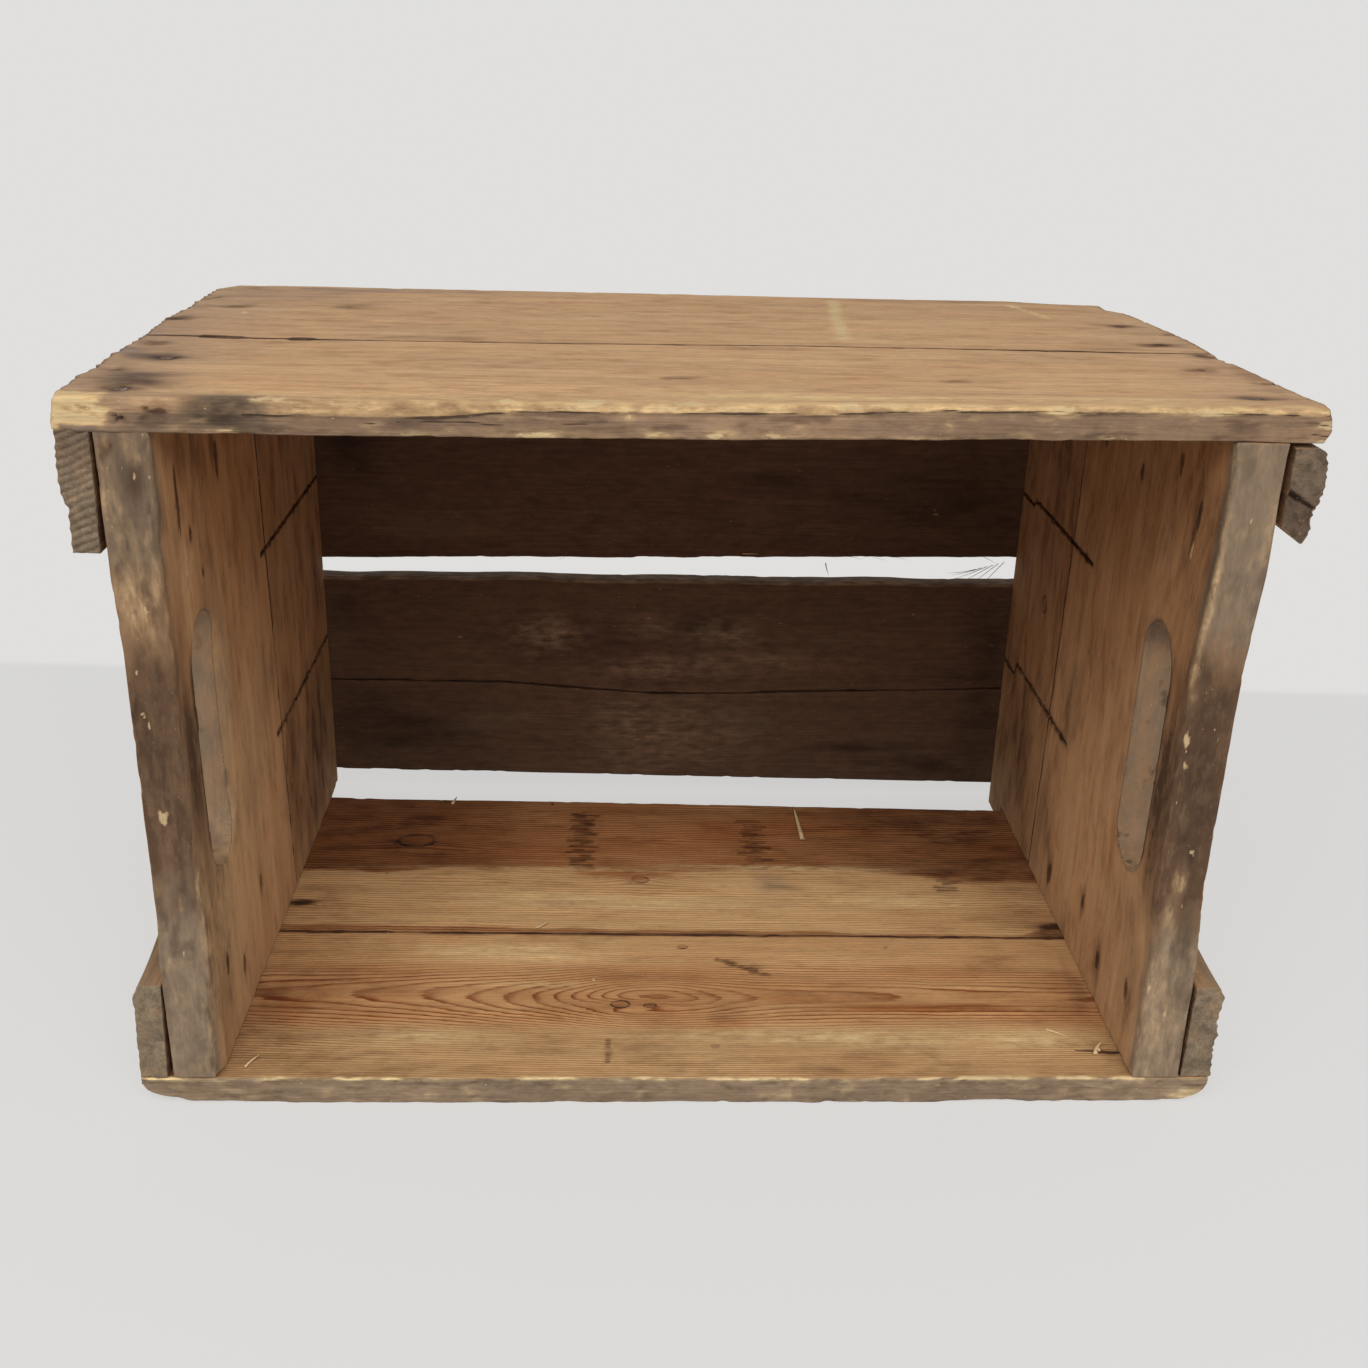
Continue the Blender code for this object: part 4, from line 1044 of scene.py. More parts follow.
# --- Base slats --------------------------------------------------------------------------
SLAT_SEAM = ((-197, -99, -5, 77, 195), (66.4, 65.6, 58.9, 61.0, 64.4))
GAP_ABOVE = ((-197, 197), (141.0, 146.0))  # the upper slat's lower edge
FLOOR_GAP = ((-197, 197), (8.4, 2.0))  # the lower slat's lower edge

SLAT_MARKS = dict(  # x, height, reach along both, strength
    heart=((-20, 85, 70, 12, 1.4), (-60, 95, 60, 22, 2.0), (-10, 75, 50, 16, 2.0)),
    grey=((-110, 40, 60, 14, 0.5), (110, 95, 50, 10, 0.4), (-190, 100, 14, 40, 0.4),
          (40, 40, 40, 20, 0.5), (-140, 160, 50, 14, 0.35)),
    stain=((60, 190, 26, 12, 0.4), (180, 250, 40, 30, 0.4), (-180, 250, 40, 30, 0.3),
           (20, 105, 30, 14, 0.6), (110, 25, 40, 5, 0.7), (-155, 36, 66, 34, 0.55),
           (155, 14, 50, 10, 0.55), (187, 70, 26, 90, 0.45), (148, 178, 70, 38, 0.5),
           (-176, 202, 30, 20, 0.5), (-186, 110, 20, 16, 0.45)),
    pale=((-10, 100, 24, 12, 0.2), (60, 80, 60, 9, 0.2), (-5, 32, 62, 30, 0.34),
          (0, 76, 60, 12, 0.32), (-72, 97, 30, 15, 0.5), (35, 97, 34, 12, 0.42)),
    bare=((-121, 94, 3, 2.6, 0.8), (-75, 92, 3, 2, 0.7), (70, 195, 3, 2, 0.7),
          (148, 171, 5, 5, 0.55), (143, 165, 2.5, 4, 0.55), (-12, 106, 3, 2, 0.45),
          (-40, 102, 2, 4, 0.4)),
)


def slats():
    """The three base slats: almost black with old dirt inside, waved edges, torn fibres."""
    for row, seed in (("upper", 131), ("middle", 137), ("lower", 141)):
        slat(row, seed)


def slat(row, seed):
    """One base slat."""
    node = f"base_slat_{row}"
    low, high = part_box(node)
    rulers = (even_ruler(-high.x, high.x, 0.0019, 0.004),
              even_ruler(low.y, high.y, 0.0012, 0.002), even_ruler(low.z, high.z, 0.0017))
    board = Timber(node, ALONG, rulers)
    board.soften(chipped_radius(board, 0.7, 1.2, seed))
    weather(board, 0.14, seed)
    seam = np.interp(board.x, *SLAT_SEAM)
    rough = 0.45 * board.vary((12, 0, 0), seed + 1)
    bottom, top = (board.low[2] - INNER_LOW) / MM, (board.high[2] - INNER_LOW) / MM
    if row == "upper":
        board.reshape(UP, -1, np.interp(board.x, *GAP_ABOVE) - bottom + rough)
        pith = at(0, 300, 420)
    elif row == "middle":
        board.reshape(UP, -1, seam + 0.3 - bottom + rough)
        board.reshape(UP, 1, 0.7 * board.vary((30, 0, 0), seed + 2))
        pith = at(0, 330, -60)
    else:
        board.reshape(UP, 1, seam - 0.3 - top - np.abs(rough))
        board.reshape(UP, -1, np.interp(board.x, *FLOOR_GAP) - bottom)
        pith = at(0, 340, 190)
    board.grow(pith, 3.6, seed=seed, wander=3.0)
    inside = board.facing(DEPTH, -1)
    board.paint("heart", 0.3)
    board.paint("grey", board.facing(DEPTH, 1) * 0.8)
    board.paint("stain", board.facing(UP, 1) * 0.1 + 0.8 * board.facing(UP, -1))
    board.paint("grey", inside * {"upper": 0.04, "middle": 0.14, "lower": 0.22}[row])
    board.paint("rough", inside * 0.5)
    board.blots(inside, IN_FRONT, **SLAT_MARKS)
    if row == "middle":
        top_arris = ease(board.up, top - 2.5, top - 0.5)
        board.paint("grey", top_arris * 0.8)
        board.paint("rough", top_arris * 0.6)
        board.paint("pale", top_arris * (0.6 + 0.5 * board.vary((12, 10, 3), 145)))
    board.piece("slat")


def thin_cones(name, root, way, curl, length, radius, finish):
    """Fibres and shavings: thin cones that curve and taper from root to tip.

    The middle line runs from the root by t times its length and curls by t squared. The
    radius shrinks from root to tip, and six corners go round it. All sizes are in mm."""
    steps, around = 7, 6
    way, curl, radius = np.asarray(way, float), np.asarray(curl, float), np.asarray(radius, float)
    t = np.linspace(0, 1, steps)[None, :, None]
    line = length[:, None, None] * (way[:, None] * t + curl[:, None] * t * t)
    turn = np.arange(around) * 2 * np.pi / around
    forward = way / np.linalg.norm(way, axis=1, keepdims=True)
    side = np.cross(forward, (0.0, 0.0, 1.0))
    side = side / np.linalg.norm(side, axis=1, keepdims=True)
    above = np.cross(side, forward)
    ring = side[:, None] * np.cos(turn)[:, None] + above[:, None] * 0.6 * np.sin(turn)[:, None]
    thin = (1 - 0.93 * t[:, :, 0] ** 2) * radius[:, None]
    points = root[:, None, None] + MM * (line[:, :, None] + thin[:, :, None, None] * ring[:, None])
    grid = np.arange(points[..., 0].size).reshape(len(root), steps, around)
    onward = np.roll(grid, -1, 2)
    quads = np.stack((grid[:, :-1], grid[:, 1:], onward[:, 1:], onward[:, :-1]), axis=-1).reshape(-1, 4)
    ends = np.stack((grid[:, 0], grid[:, -1, ::-1]), axis=1)
    caps = ends[..., ((0, 1, 2, 3), (0, 3, 4, 5))].reshape(-1, 4)
    faces = np.vstack((quads, caps))[:, ::-1]
    mesh_piece(name, points.reshape(-1, 3).tolist(), faces.tolist(), finish)


def splinters():
    """Torn fibres on the slats' edges, long hairs at the right end of the gap, and a few pale
    shavings that lie on the floor boards."""
    count = 64
    places = np.arange(count * 8).reshape(-1, 1) * np.array((1, 3, 7))
    numbers = scatter(places, 151).reshape(count, 8)
    x = -185 + 370 * numbers[:, 0]
    on_upper = numbers[:, 1] > 0.7
    up = np.where(on_upper, np.interp(x, *GAP_ABOVE), 129.2)
    root = np.stack((x, 285.7 + 4 * numbers[:, 2], up), axis=1)
    heading = np.where(numbers[:, 3] > 0.5, 1.0, -1.0)
    length = 3 + 9 * numbers[:, 4] ** 2
    rise = np.where(on_upper, -1.0, 1.0) * (0.06 + 0.3 * numbers[:, 5])
    way = np.stack((heading, -0.15 * numbers[:, 6], rise), axis=1)
    curl = np.stack((0 * x, -0.2 + 0.3 * numbers[:, 7], 0.25 * rise), axis=1)
    radius = 0.08 + 0.16 * numbers[:, 2]
    hairs = np.arange(6)
    root[hairs] = np.stack((175 + 3.2 * hairs, 287 + 0 * hairs, 138 + 0.9 * hairs), axis=1)
    way[hairs] = np.stack((-1 + 0.1 * hairs, 0 * hairs, -0.3 - 0.05 * hairs), axis=1)
    curl[hairs] = np.stack((0 * hairs, 0 * hairs, 0.16 - 0.05 * hairs), axis=1)
    length[hairs] = 17 + 3 * hairs
    radius[hairs] = 0.26
    thin_cones("torn_fibres", ORIGIN + root * MM, way, curl, length, radius, "fibre")
    shavings = np.array((  # x, depth, up, then the way, the curl, the length and the radius
        (74.8, 215, 0.9, -0.03, 1, 0, 0.0, 0, 0, 40, 1.3),
        (74.2, 219, 0.9, 0.3, -1, 0.1, 0, 0, 0, 6, 1.0),
        (186, 17, 0.8, 0.1, 1, 0, 0.5, -0.2, 0.2, 9, 1.0),
        (188.5, 19, 0.8, -0.4, 1, 0.1, 0.9, -0.4, 0, 8, 0.7),
        (168, 36, 0.5, 1, -0.5, 0, 0, -0.2, 0, 9, 0.6),
        (-40, 74, 0.5, 0.6, 1, 0, -0.4, 0, 0, 4, 0.5),
        (-70, 121, 0.6, 1, 0.3, 0.1, 0, 0.4, 0.2, 7, 0.7),
        (-189, 8, 0.5, 0.3, 1, 0.1, 0.3, 0, 0, 8, 0.6),
        (144, 143, 0.5, 1, 0.5, 0, 0, -0.5, 0, 8, 0.5),
        (88, 287, 140.5, 0.2, -0.1, -1, 0.1, 0, 0, 7, 0.5),
        (-126, 256, 0.4, 0.2, 1, 0, 0, 0, 0, 9, 1.0),
        (40, 284, 146.5, 1, -0.3, 0.1, 0, 0, 0, 9, 0.4),
    ))
    thin_cones("pale_shavings", ORIGIN + shavings[:, :3] * MM, shavings[:, 3:6], shavings[:, 6:9],
               shavings[:, 9], shavings[:, 10], "shaving")


# --- Cleats ------------------------------------------------------------------------------
# The worn outlines at the front: heights, then x of the outer face; heights, x of the inner one.
CLEAT_OUTLINES = {
    ("upper", LEFT): (
        (235, 245, 252.5, 255.5, 260, 271, 280),
        (-230.3, -230.2, -229.6, -231.3, -232, -232, -231.2),
        (235, 281.8), (-219.6, -218.4),
    ),
    ("upper", RIGHT): (
        (235, 249, 252.7, 257.5, 263, 269, 275, 279.5),
        (230.5, 230.7, 232.3, 232.7, 233.4, 233.1, 233, 232),
        (235, 281.8), (219.3, 219.3),
    ),
    ("lower", LEFT): (
        (0, 20, 35, 40.4, 46.8),
        (-231.6, -231.1, -230.3, -230.8, -228.2),
        (0, 46.8), (-219.9, -218),
    ),
    ("lower", RIGHT): (
        (0, 9, 18, 23, 30, 36, 42.2, 46.8),
        (232.7, 232.4, 231.4, 232.5, 231.2, 232, 232.3, 229.5),
        (0, 46.8), (218.9, 219),
    ),
}


def cleats():
    """The four cleats along the corners outside: their grey sawn ends face the front."""
    for level, side in itertools.product(("upper", "lower"), (LEFT, RIGHT)):
        cleat(level, side)


def cleat(level, side):
    """One cleat, with its worn outline at the front."""
    node = f"{level}_{SIDE_NAMES[side]}_cleat"
    low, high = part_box(node)
    seed = 161 + 5 * (side > 0) + 2 * (level == "upper")
    rulers = (even_ruler(low.x, high.x, 0.0009, 0.002), even_ruler(low.y, high.y, 0.0021),
              even_ruler(low.z, high.z, 0.0008))
    board = Timber(node, DEPTH, rulers)
    board.soften(chipped_radius(board, 0.6, 0.9, seed))
    weather(board, 0.14, seed)
    front = board.facing(DEPTH, -1)
    near = 1 - ease(board.depth, 5, 60)
    heights, outer, inner_heights, inner = CLEAT_OUTLINES[level, side]
    outwards = ease(side * board.x, OUTER_FACE, HALF_LENGTH)
    to_outer = np.interp(board.up, heights, outer) - HALF_LENGTH * side
    to_inner = np.interp(board.up, inner_heights, inner) - OUTER_FACE * side
    board.shift(ALONG, near * (outwards * to_outer + (1 - outwards) * to_inner))
    bites = {"upper": 0.9, "lower": 0.2 if side == LEFT else 0.9}[level]
    board.shift(ALONG, -side * near * outwards * scallops(board, UP, 4.6, bites, seed))
    face = (1 - ease(board.depth, 0, 6)) * 0.6 * (1 + board.vary((6, 0, 8), seed + 2))
    board.shift(DEPTH, face)
    board.paint("heart", 0.5)
    board.paint("grey", np.maximum(front * 0.95, 0.3 + 0.3 * outwards))
    board.paint("rough", front * 0.8)
    board.paint("stain", board.facing(ALONG, -side) * 0.75)
    pits = board.patches((5, 0, 7), seed + 3, 0.3, 0.8)
    board.paint("stain", front * (0.05 + 0.22 * pits))
    pith = at(190 * side, 100, 300 if level == "upper" else 10)
    board.grow(pith, 2.2, seed=seed, wander=1.2)
    if level == "lower":
        board.paint("heart", board.facing(UP, 1) * 1.1)
    elif side == LEFT:
        rib_cleat(board, front)
    else:
        break_cleat(board)
    board.piece("cleat")


def rib_cleat(board, front):
    """The upper left cleat: slanting saw ribs across its end, sin of the way down them."""
    down = (board.up - 0.4 * board.x + 1.1 * board.vary((12, 0, 20), 181)) / 3.1
    ribs = np.sin(2 * np.pi * down)
    board.shift(DEPTH, front * 0.35 * ribs)
    board.paint("stain", front * 0.5 * ease(ribs, 0.0, 1.0))
    board.paint("dirt", front * (0.15 + 0.4 * ease(board.up, 262, 280)))


def break_cleat(board):
    """The upper right cleat: its lower edge broken to a point near the rim, and split across.

    Its outline there runs through corners given as shares of the width: how far the lower
    edge rises, and how far the outer face bulges."""
    front = board.facing(DEPTH, -1)
    share = 1 - ease(board.depth, 60, 110)
    across = ((board.rest - board.low) / (board.high - board.low))[:, 0]
    board.reshape(UP, -1, share * np.interp(across, (0.0, 0.4, 0.82, 1.0), (16.5, 13.0, 9.5, 14.0)))
    board.reshape(UP, 1, -share * np.interp(across, (0.0, 0.8, 1.0), (0.0, 0.0, 1.2)))
    line = ((217, 267), (224, 262.6), (228.6, 260), (234, 256))
    board.split(front, IN_FRONT, line, 0.6, 1.8)
    board.split(front, IN_FRONT, line[:2], 1.1, 1.0)
    here = (board.points - ORIGIN)[:, 2] / MM
    gap = here - np.interp(board.x, *np.transpose(line))
    board.blots(
        front, IN_FRONT,
        dirt=((225, 252, 14, 9, 0.9),),
        stain=((225, 262, 12, 5, 0.5),),
        bare=((220, 252, 3, 2, 0.4), (227, 254.5, 4, 1.6, 0.4)),
    )
    board.paint("dirt", front * (0.45 + 0.4 * ease(-gap, 0, 2)))
    board.paint("stain", front * (0.15 + 0.4 * board.patches((4, 0, 5), 185, 0.1, 0.8)))
    board.paint("bare", front * 0.45 * ease(-gap, 0, 2) * board.patches((3, 0, 1.6), 186, 0.4, 0.9))
    board.paint("rough", front)
    board.shift(DEPTH, front * share * 1.2 * ease(-gap, 0, 1))


# --- Nails -------------------------------------------------------------------------------
NAIL_PROFILE = (  # radius and height in mm, from the crown of the head to the point
    (1.4, 0.02), (2.4, -0.06), (2.9, -0.25), (3.0, -0.55), (2.7, -0.95), (1.3, -1.25),
    (1.25, 0), (1.25, 0),  # the shank: its two heights follow from the nail's length
)
SUNK = {"head": 0.0003, "slit": 0.003, "stain": 0.003}  # metres under the face of the board
SLAT_NAIL_LINE = 0.2085  # metres from the middle of the crate


def nails(name, heads, axis, side, length, nodes):
    """Nails along one axis: a profile of radius and height turned round each nail's line.

    Each head leans a little, by scattered numbers, as a hammered head does."""
    around = 14
    heads = np.asarray(heads, float)
    profile = np.array(NAIL_PROFILE) * MM
    taper = 0.004
    profile[-2:, 1] = -length / 2, taper - length
    turn = np.arange(around) * 2 * np.pi / around
    ring = np.zeros((len(profile), around, 3))
    first, second = [n for n in range(3) if n != axis]
    ring[:, :, first] = profile[:, :1] * np.cos(turn)
    ring[:, :, second] = profile[:, :1] * np.sin(turn) * (1 if (axis != 1) == (side > 0) else -1)
    ring[:, :, axis] = side * profile[:, 1:]
    crown, tip = np.zeros(3), np.zeros(3)
    crown[axis], tip[axis] = side * 0.00008, -side * length
    body = np.vstack((ring.reshape(-1, 3), crown, tip))
    grid = np.arange(len(profile) * around).reshape(len(profile), around)
    onward = np.roll(grid, -1, 1)
    quads = np.stack((grid[1:], onward[1:], onward[:-1], grid[:-1]), axis=-1).reshape(-1, 4)
    last = grid.size
    fans = [(last, a, b) for a, b in zip(grid[0], onward[0])]
    fans += [(last + 1, b, a) for a, b in zip(grid[-1], onward[-1])]
    lean = (scatter(np.round(heads * 1e5), 171) - 0.5) * 0.12
    points, faces = [], []
    for number, (head, tilt) in enumerate(zip(heads, lean)):
        leaning = body.copy()
        leaning[:, axis] += tilt * body[:, first] * (np.abs(body[:, axis]) < 0.002)
        points += (leaning + head).tolist()
        offset = number * len(body)
        faces += (quads + offset).tolist() + [[c + offset for c in fan] for fan in fans]
    mesh_piece(name, points, faces, "steel", nodes)


def all_nails():
    """The nails of each board, where the hammer put them."""
    sides = ("left", "right")
    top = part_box("upper_side_rim_board")[1].z
    levels = (("upper", TOP_NAILS, top, 1), ("lower", UNDER_NAILS, 0.0, -1))
    for part, (level, table, face, way) in itertools.product(("rim", "base"), levels):
        heads = [at(x, depth, 0) for x, depth, *_ in table[part]]
        for head, (x, depth, shows, *_) in zip(heads, table[part]):
            warp = np.interp(x, *TOP_WARP) * (1 - ease(depth, 2, 30)) if level == "upper" else 0
            head[2] = face + warp * MM * (part == "rim") - way * SUNK[shows]
        names = [f"nail_{level}_side_{part}_{s}_{n}" for s in sides for n in ("1", "2", "cleat")]
        nails(f"nails_{level}_side_{part}", heads, UP, way, 0.042, names)
    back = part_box("base_slat_upper")[1].y
    for row in ("upper", "middle", "lower"):
        rows = [sum(corner.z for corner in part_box(f"nail_base_{row}_left_{n}")) / 2 for n in (1, 2)]
        heads = [(side * SLAT_NAIL_LINE, back - 0.0002, height)
                 for side, height in itertools.product((LEFT, RIGHT), rows)]
        names = [f"nail_base_{row}_{s}_{n}" for s in sides for n in (1, 2)]
        nails(f"nails_base_{row}", heads, DEPTH, 1, 0.04, names)
    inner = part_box("right_end_rim_board")[0].x
    for side, label in ((LEFT, "left"), (RIGHT, "right")):
        heads = [at(0, depth, height) for depth, height, *_ in IRON_STAINS[side]]
        for head in heads:
            head[0] = side * (inner + 0.0008)
        names = [f"nail_{level}_{label}_cleat_{n}" for level in ("upper", "lower") for n in (1, 2)]
        nails(f"nails_{label}_end", heads, ALONG, -side, 0.03, names)


# --- Materials ---------------------------------------------------------------------------
def linear(hex_colour):
    """An sRGB hex colour as linear red, green, blue and 1."""
    parts = [int(hex_colour[n : n + 2], 16) / 255 for n in (1, 3, 5)]
    return tuple(c / 12.92 if c <= 0.04045 else ((c + 0.055) / 1.055) ** 2.4 for c in parts) + (1.0,)


def add(tree, kind, inputs=None, out=0, **settings):
    """Adds a shader node with its settings, fills its sockets with values or the outputs of
    other nodes, and gives back one of its outputs."""
    made = tree.nodes.new("ShaderNode" + kind)
    for name, value in settings.items():
        setattr(made, name, value)
    for socket, value in (inputs or {}).items():
        if isinstance(value, bpy.types.NodeSocket):
            tree.links.new(value, made.inputs[socket])
        else:
            made.inputs[socket].default_value = value
    return made.outputs[out] if made.outputs else None


def blank_material(name):
    """A material and its empty tree."""
    material = bpy.data.materials.new(name)
    material.use_nodes = True
    material.node_tree.nodes.clear()
    return material, material.node_tree


PATTERNS = {  # cells along and across the grain in mm, then layers of detail and roughness
    "fibre": (55, 1.0, 3.0, 0.55),  # bundles of fibres, drawn three times as wide to show
    "band": (170, 9, 2.0, 0.5),
    "cloud": (75, 26, 4.0, 0.55),
    "smudge": (24, 9, 5.0, 0.62),
    "mottle": (9, 3.4, 4.0, 0.6),
    "grit": (3.4, 1.5, 4.0, 0.6),
    "fleck": (3.0, 1.1, 1.0, 0.5),
}
WEAR = (  # kind of mark, the pattern that breaks it up and how much, how it lies on the wood
    ("grey", "smudge", 0.3, "MIX"), ("dirt", "mottle", 0.22, "MIX"),
    ("stain", "smudge", 0.3, "MULTIPLY"), ("pale", "mottle", 0.7, "MIX"),
)
SUMS = {  # a mark, and how much of which patterns is added to it
    "bent": ("ring", (("fibre", 0.35), ("smudge", 0.7))),
    "brown": ("heart", (("cloud", 1.2),)),
    "knotted": ("knot", (("mottle", 0.6),)),
    "rusty": ("rust", (("grit", 0.9), ("mottle", 0.9))),
    "broken": ("bare", (("grit", 0.9), ("mottle", 0.9))),
    "cracked": ("crack", (("grit", 0.9),)),
}
LATEWOOD = ((0.08, 0.0), (0.5, 0.06), (0.8, 0.7), (0.92, 1.0))  # place in a ring, darkness


def softwood(name, grain, tones, rings=0.3, seed=0.0, relief=1.0, dirt=0.5, streaks=0.7):
    """Old rough-sawn pine. Pale sapwood and browner heartwood in soft clouds, latewood lines
    where the growth rings end, fibres and handling dirt along the grain. The painted amounts
    lay grey weathered wood, dirt, stains, rust and fresh breaks over it, and noise breaks up
    their outlines. Cracks are thin dark lines. Dull, with the fibres in relief."""
    material, tree = blank_material(name)
    found = patterns_and_marks(tree, grain, seed)
    mix_amounts(tree, found, rings, dirt, streaks)
    layers = [("brown", "heart", "MIX"), ("lines", "late", "MIX"), ("soil", "soil", "MULTIPLY"),
              ("core", "knot", "MIX"), ("outline", "crack", "MIX")]
    layers += [("worn " + mark, mark, blend) for mark, _, _, blend in WEAR]
    layers += [("rough", found["mottled"], "MULTIPLY"), ("rusty", "rust", "MULTIPLY"),
               ("broken", "bare", "MIX"), ("cracked", "crack", "MIX"), ("crumbs", "bare", "MIX"),
               ("all", found["shade"], "MULTIPLY")]
    wood = linear(tones["sap"])
    for amount, colour, blend in layers:
        colour = linear(tones[colour]) if isinstance(colour, str) else colour
        wood = add(tree, "Mix", {0: found[amount], 6: wood, 7: colour}, 2, data_type="RGBA",
                   blend_type=blend)
    height = found["fibre"]
    for part, much in (("late", 0.2 * rings), ("torn", 1.0), ("cracked", -1.2)):
        height = add(tree, "Math", {0: found[part], 1: much, 2: height}, operation="MULTIPLY_ADD")
    bump = add(tree, "Bump", {"Strength": 0.7, "Distance": 0.0006 * relief, "Height": height})
    shader = add(tree, "BsdfPrincipled", {"Base Color": wood, "Normal": bump, "Roughness": found["dull"],
                                          "IOR": 1.5, "Specular IOR Level": 0.3})
    add(tree, "OutputMaterial", {0: shader})
    return material


def patterns_and_marks(tree, grain, seed):
    """The outputs of all noise patterns, stretched along the grain, and of all painted marks."""
    place = add(tree, "TexCoord", out="Object")
    found = {mark: add(tree, "Attribute", out="Fac", attribute_name=mark) for mark in Timber.MARKS}
    for number, (pattern, (along, across, detail, roughness)) in enumerate(PATTERNS.items()):
        scale = [1 / (across * MM)] * 3
        scale[grain] = 1 / (along * MM)
        shift = 1.7 + 2.3 * number
        moved = add(tree, "VectorMath", {0: place, 1: scale, 2: (seed + shift, shift, -seed)},
                    operation="MULTIPLY_ADD")
        found[pattern] = add(tree, "TexNoise", {"Vector": moved, "Scale": 1.0, "Detail": detail,
                                                "Roughness": roughness}, noise_dimensions="3D")
    return found


def mix_amounts(tree, found, rings, dirt, streaks):
    """Adds to the marks and patterns found how much of each tone the wood shows where."""
    found["even"] = 0.58 - streaks / 2
    shading = (("fibre", streaks), ("band", 0.5), ("grit", 0.34))
    for result, (start, parts) in {**SUMS, "shade": ("even", shading)}.items():
        found[result] = found[start]
        for pattern, much in parts:
            found[result] = add(tree, "Math", {0: found[pattern], 1: much, 2: found[result]},
                                operation="MULTIPLY_ADD")
    rim = add(tree, "Math", {0: found["knotted"], 1: 2.3, 2: 0.15}, operation="COMPARE")
    ranges = [  # result, source, its low and high, what they become, the curve between
        ("brown", "brown", 0.4, 1.7, 0.0, 1.0, "LINEAR"),
        ("uneven", "band", 0.3, 0.7, 0.35 * rings, 1.25 * rings, "LINEAR"),
        ("deep", "heart", 0.2, 1.0, 0.75, 1.5, "LINEAR"),
        ("soil", "smudge", 0.47, 0.72, 0.0, dirt, "SMOOTHSTEP"),
        ("core", "knotted", 2.1, 2.7, 0.0, 0.45, "SMOOTHSTEP"),
        ("broken_up", "smudge", 0.4, 0.58, 0.3, 1.0, "LINEAR"),
        ("mottled", "mottle", 0.3, 0.7, 0.62, 1.35, "LINEAR"),
        ("rusty", "rusty", 1.3, 1.65, 0.0, 0.85, "SMOOTHSTEP"),
        ("broken", "broken", 1.3, 1.65, 0.0, 0.85, "SMOOTHSTEP"),
        ("cracked", "cracked", 2.15, 2.85, 0.0, 0.85, "SMOOTHSTEP"),
        ("crumbs", "fleck", 0.76, 0.8, 0.0, 0.5, "LINEAR"),
        ("dull", "smudge", 0.0, 1.0, 0.72, 0.92, "LINEAR"),
    ]
    ranges += [("worn " + mark, pattern, 0.35, 0.65, 1 - much, 1 + much, "LINEAR")
               for mark, pattern, much, _ in WEAR]
    for result, source, *ends, curve in ranges:
        found[result] = add(tree, "MapRange", {"Value": found[source], **dict(enumerate(ends, 1))},
                            interpolation_type=curve)
    found["late"] = latewood(tree, found["bent"])
    products = [("lines", found["late"], "uneven", False), ("lines", "lines", "deep", True),
                ("outline", rim, "broken_up", False), ("torn", "grit", "rough", False)]
    products += [("worn " + mark, "worn " + mark, mark, True) for mark, *_ in WEAR]
    for result, one, other, clamped in products:
        one = found[one] if isinstance(one, str) else one
        found[result] = add(tree, "Math", {0: one, 1: found[other]}, operation="MULTIPLY",
                            use_clamp=clamped)
    found["all"] = 1.0


def latewood(tree, rings):
    """How dark the wood is across each growth ring: palest early, darkest near its end."""
    saw = add(tree, "Math", {0: rings}, operation="FRACT")
    darkness = add(tree, "FloatCurve", {"Value": saw})
    mapping = darkness.node.mapping
    curve = mapping.curves[0]
    curve.points[0].location, curve.points[1].location = (0.0, 0.25), (1.0, 0.25)
    for place, height in LATEWOOD:
        curve.points.new(place, height)
    mapping.update()
    return darkness


def rusty_steel(name):
    """Mild steel wire nails, hammered and rusted: brown-grey with a few worn bright places."""
    material, tree = blank_material(name)
    place = add(tree, "TexCoord", out="Object")
    crust = add(tree, "TexNoise", {"Vector": place, "Scale": 1 / (1.6 * MM), "Detail": 4.0})
    worn = add(tree, "TexNoise", {"Vector": place, "Scale": 1 / (3.5 * MM), "Detail": 2.0})
    worn = add(tree, "MapRange", {"Value": worn, 1: 0.52, 2: 0.6}, interpolation_type="SMOOTHSTEP")
    colour = linear("#332520")
    for amount, tone in ((crust, "#7a5a48"), (worn, "#9a918c")):
        colour = add(tree, "Mix", {0: amount, 6: colour, 7: linear(tone)}, 2, data_type="RGBA")
    metal = add(tree, "Math", {0: worn, 1: 0.8}, operation="MULTIPLY")
    dull = add(tree, "MapRange", {"Value": worn, 3: 0.8, 4: 0.45})
    bump = add(tree, "Bump", {"Strength": 0.6, "Distance": 0.0003, "Height": crust})
    shader = add(tree, "BsdfPrincipled", {"Base Color": colour, "Metallic": metal, "Roughness": dull,
                                          "Normal": bump})
    add(tree, "OutputMaterial", {0: shader})
    return material


# Colours that multiply the wood, and the darkest line in a crack.
DARKENING = {"soil": "#c8bcae", "stain": "#6b5850", "rust": "#75604f", "crack": "#3a2a20"}
SIDE_TONES = {**DARKENING, "sap": "#ceaa7f", "heart": "#bb8c62", "late": "#a3784f", "grey": "#937b68",
              "dirt": "#655140", "bare": "#cdb285", "pale": "#cfae7c", "knot": "#8a5a36"}
INNER_TONES = {**DARKENING, "sap": "#efc68d", "heart": "#b97c4a", "late": "#87461f", "grey": "#937c63",
               "dirt": "#5f4b3b", "bare": "#dfc295", "pale": "#f0d29a", "knot": "#9a6038"}
END_TONES = {**DARKENING, "sap": "#dab184", "heart": "#bb8553", "late": "#94643c", "grey": "#8d7861",
             "dirt": "#573f2c", "bare": "#c8ab80", "pale": "#c9a67a", "knot": "#7b4c2c"}
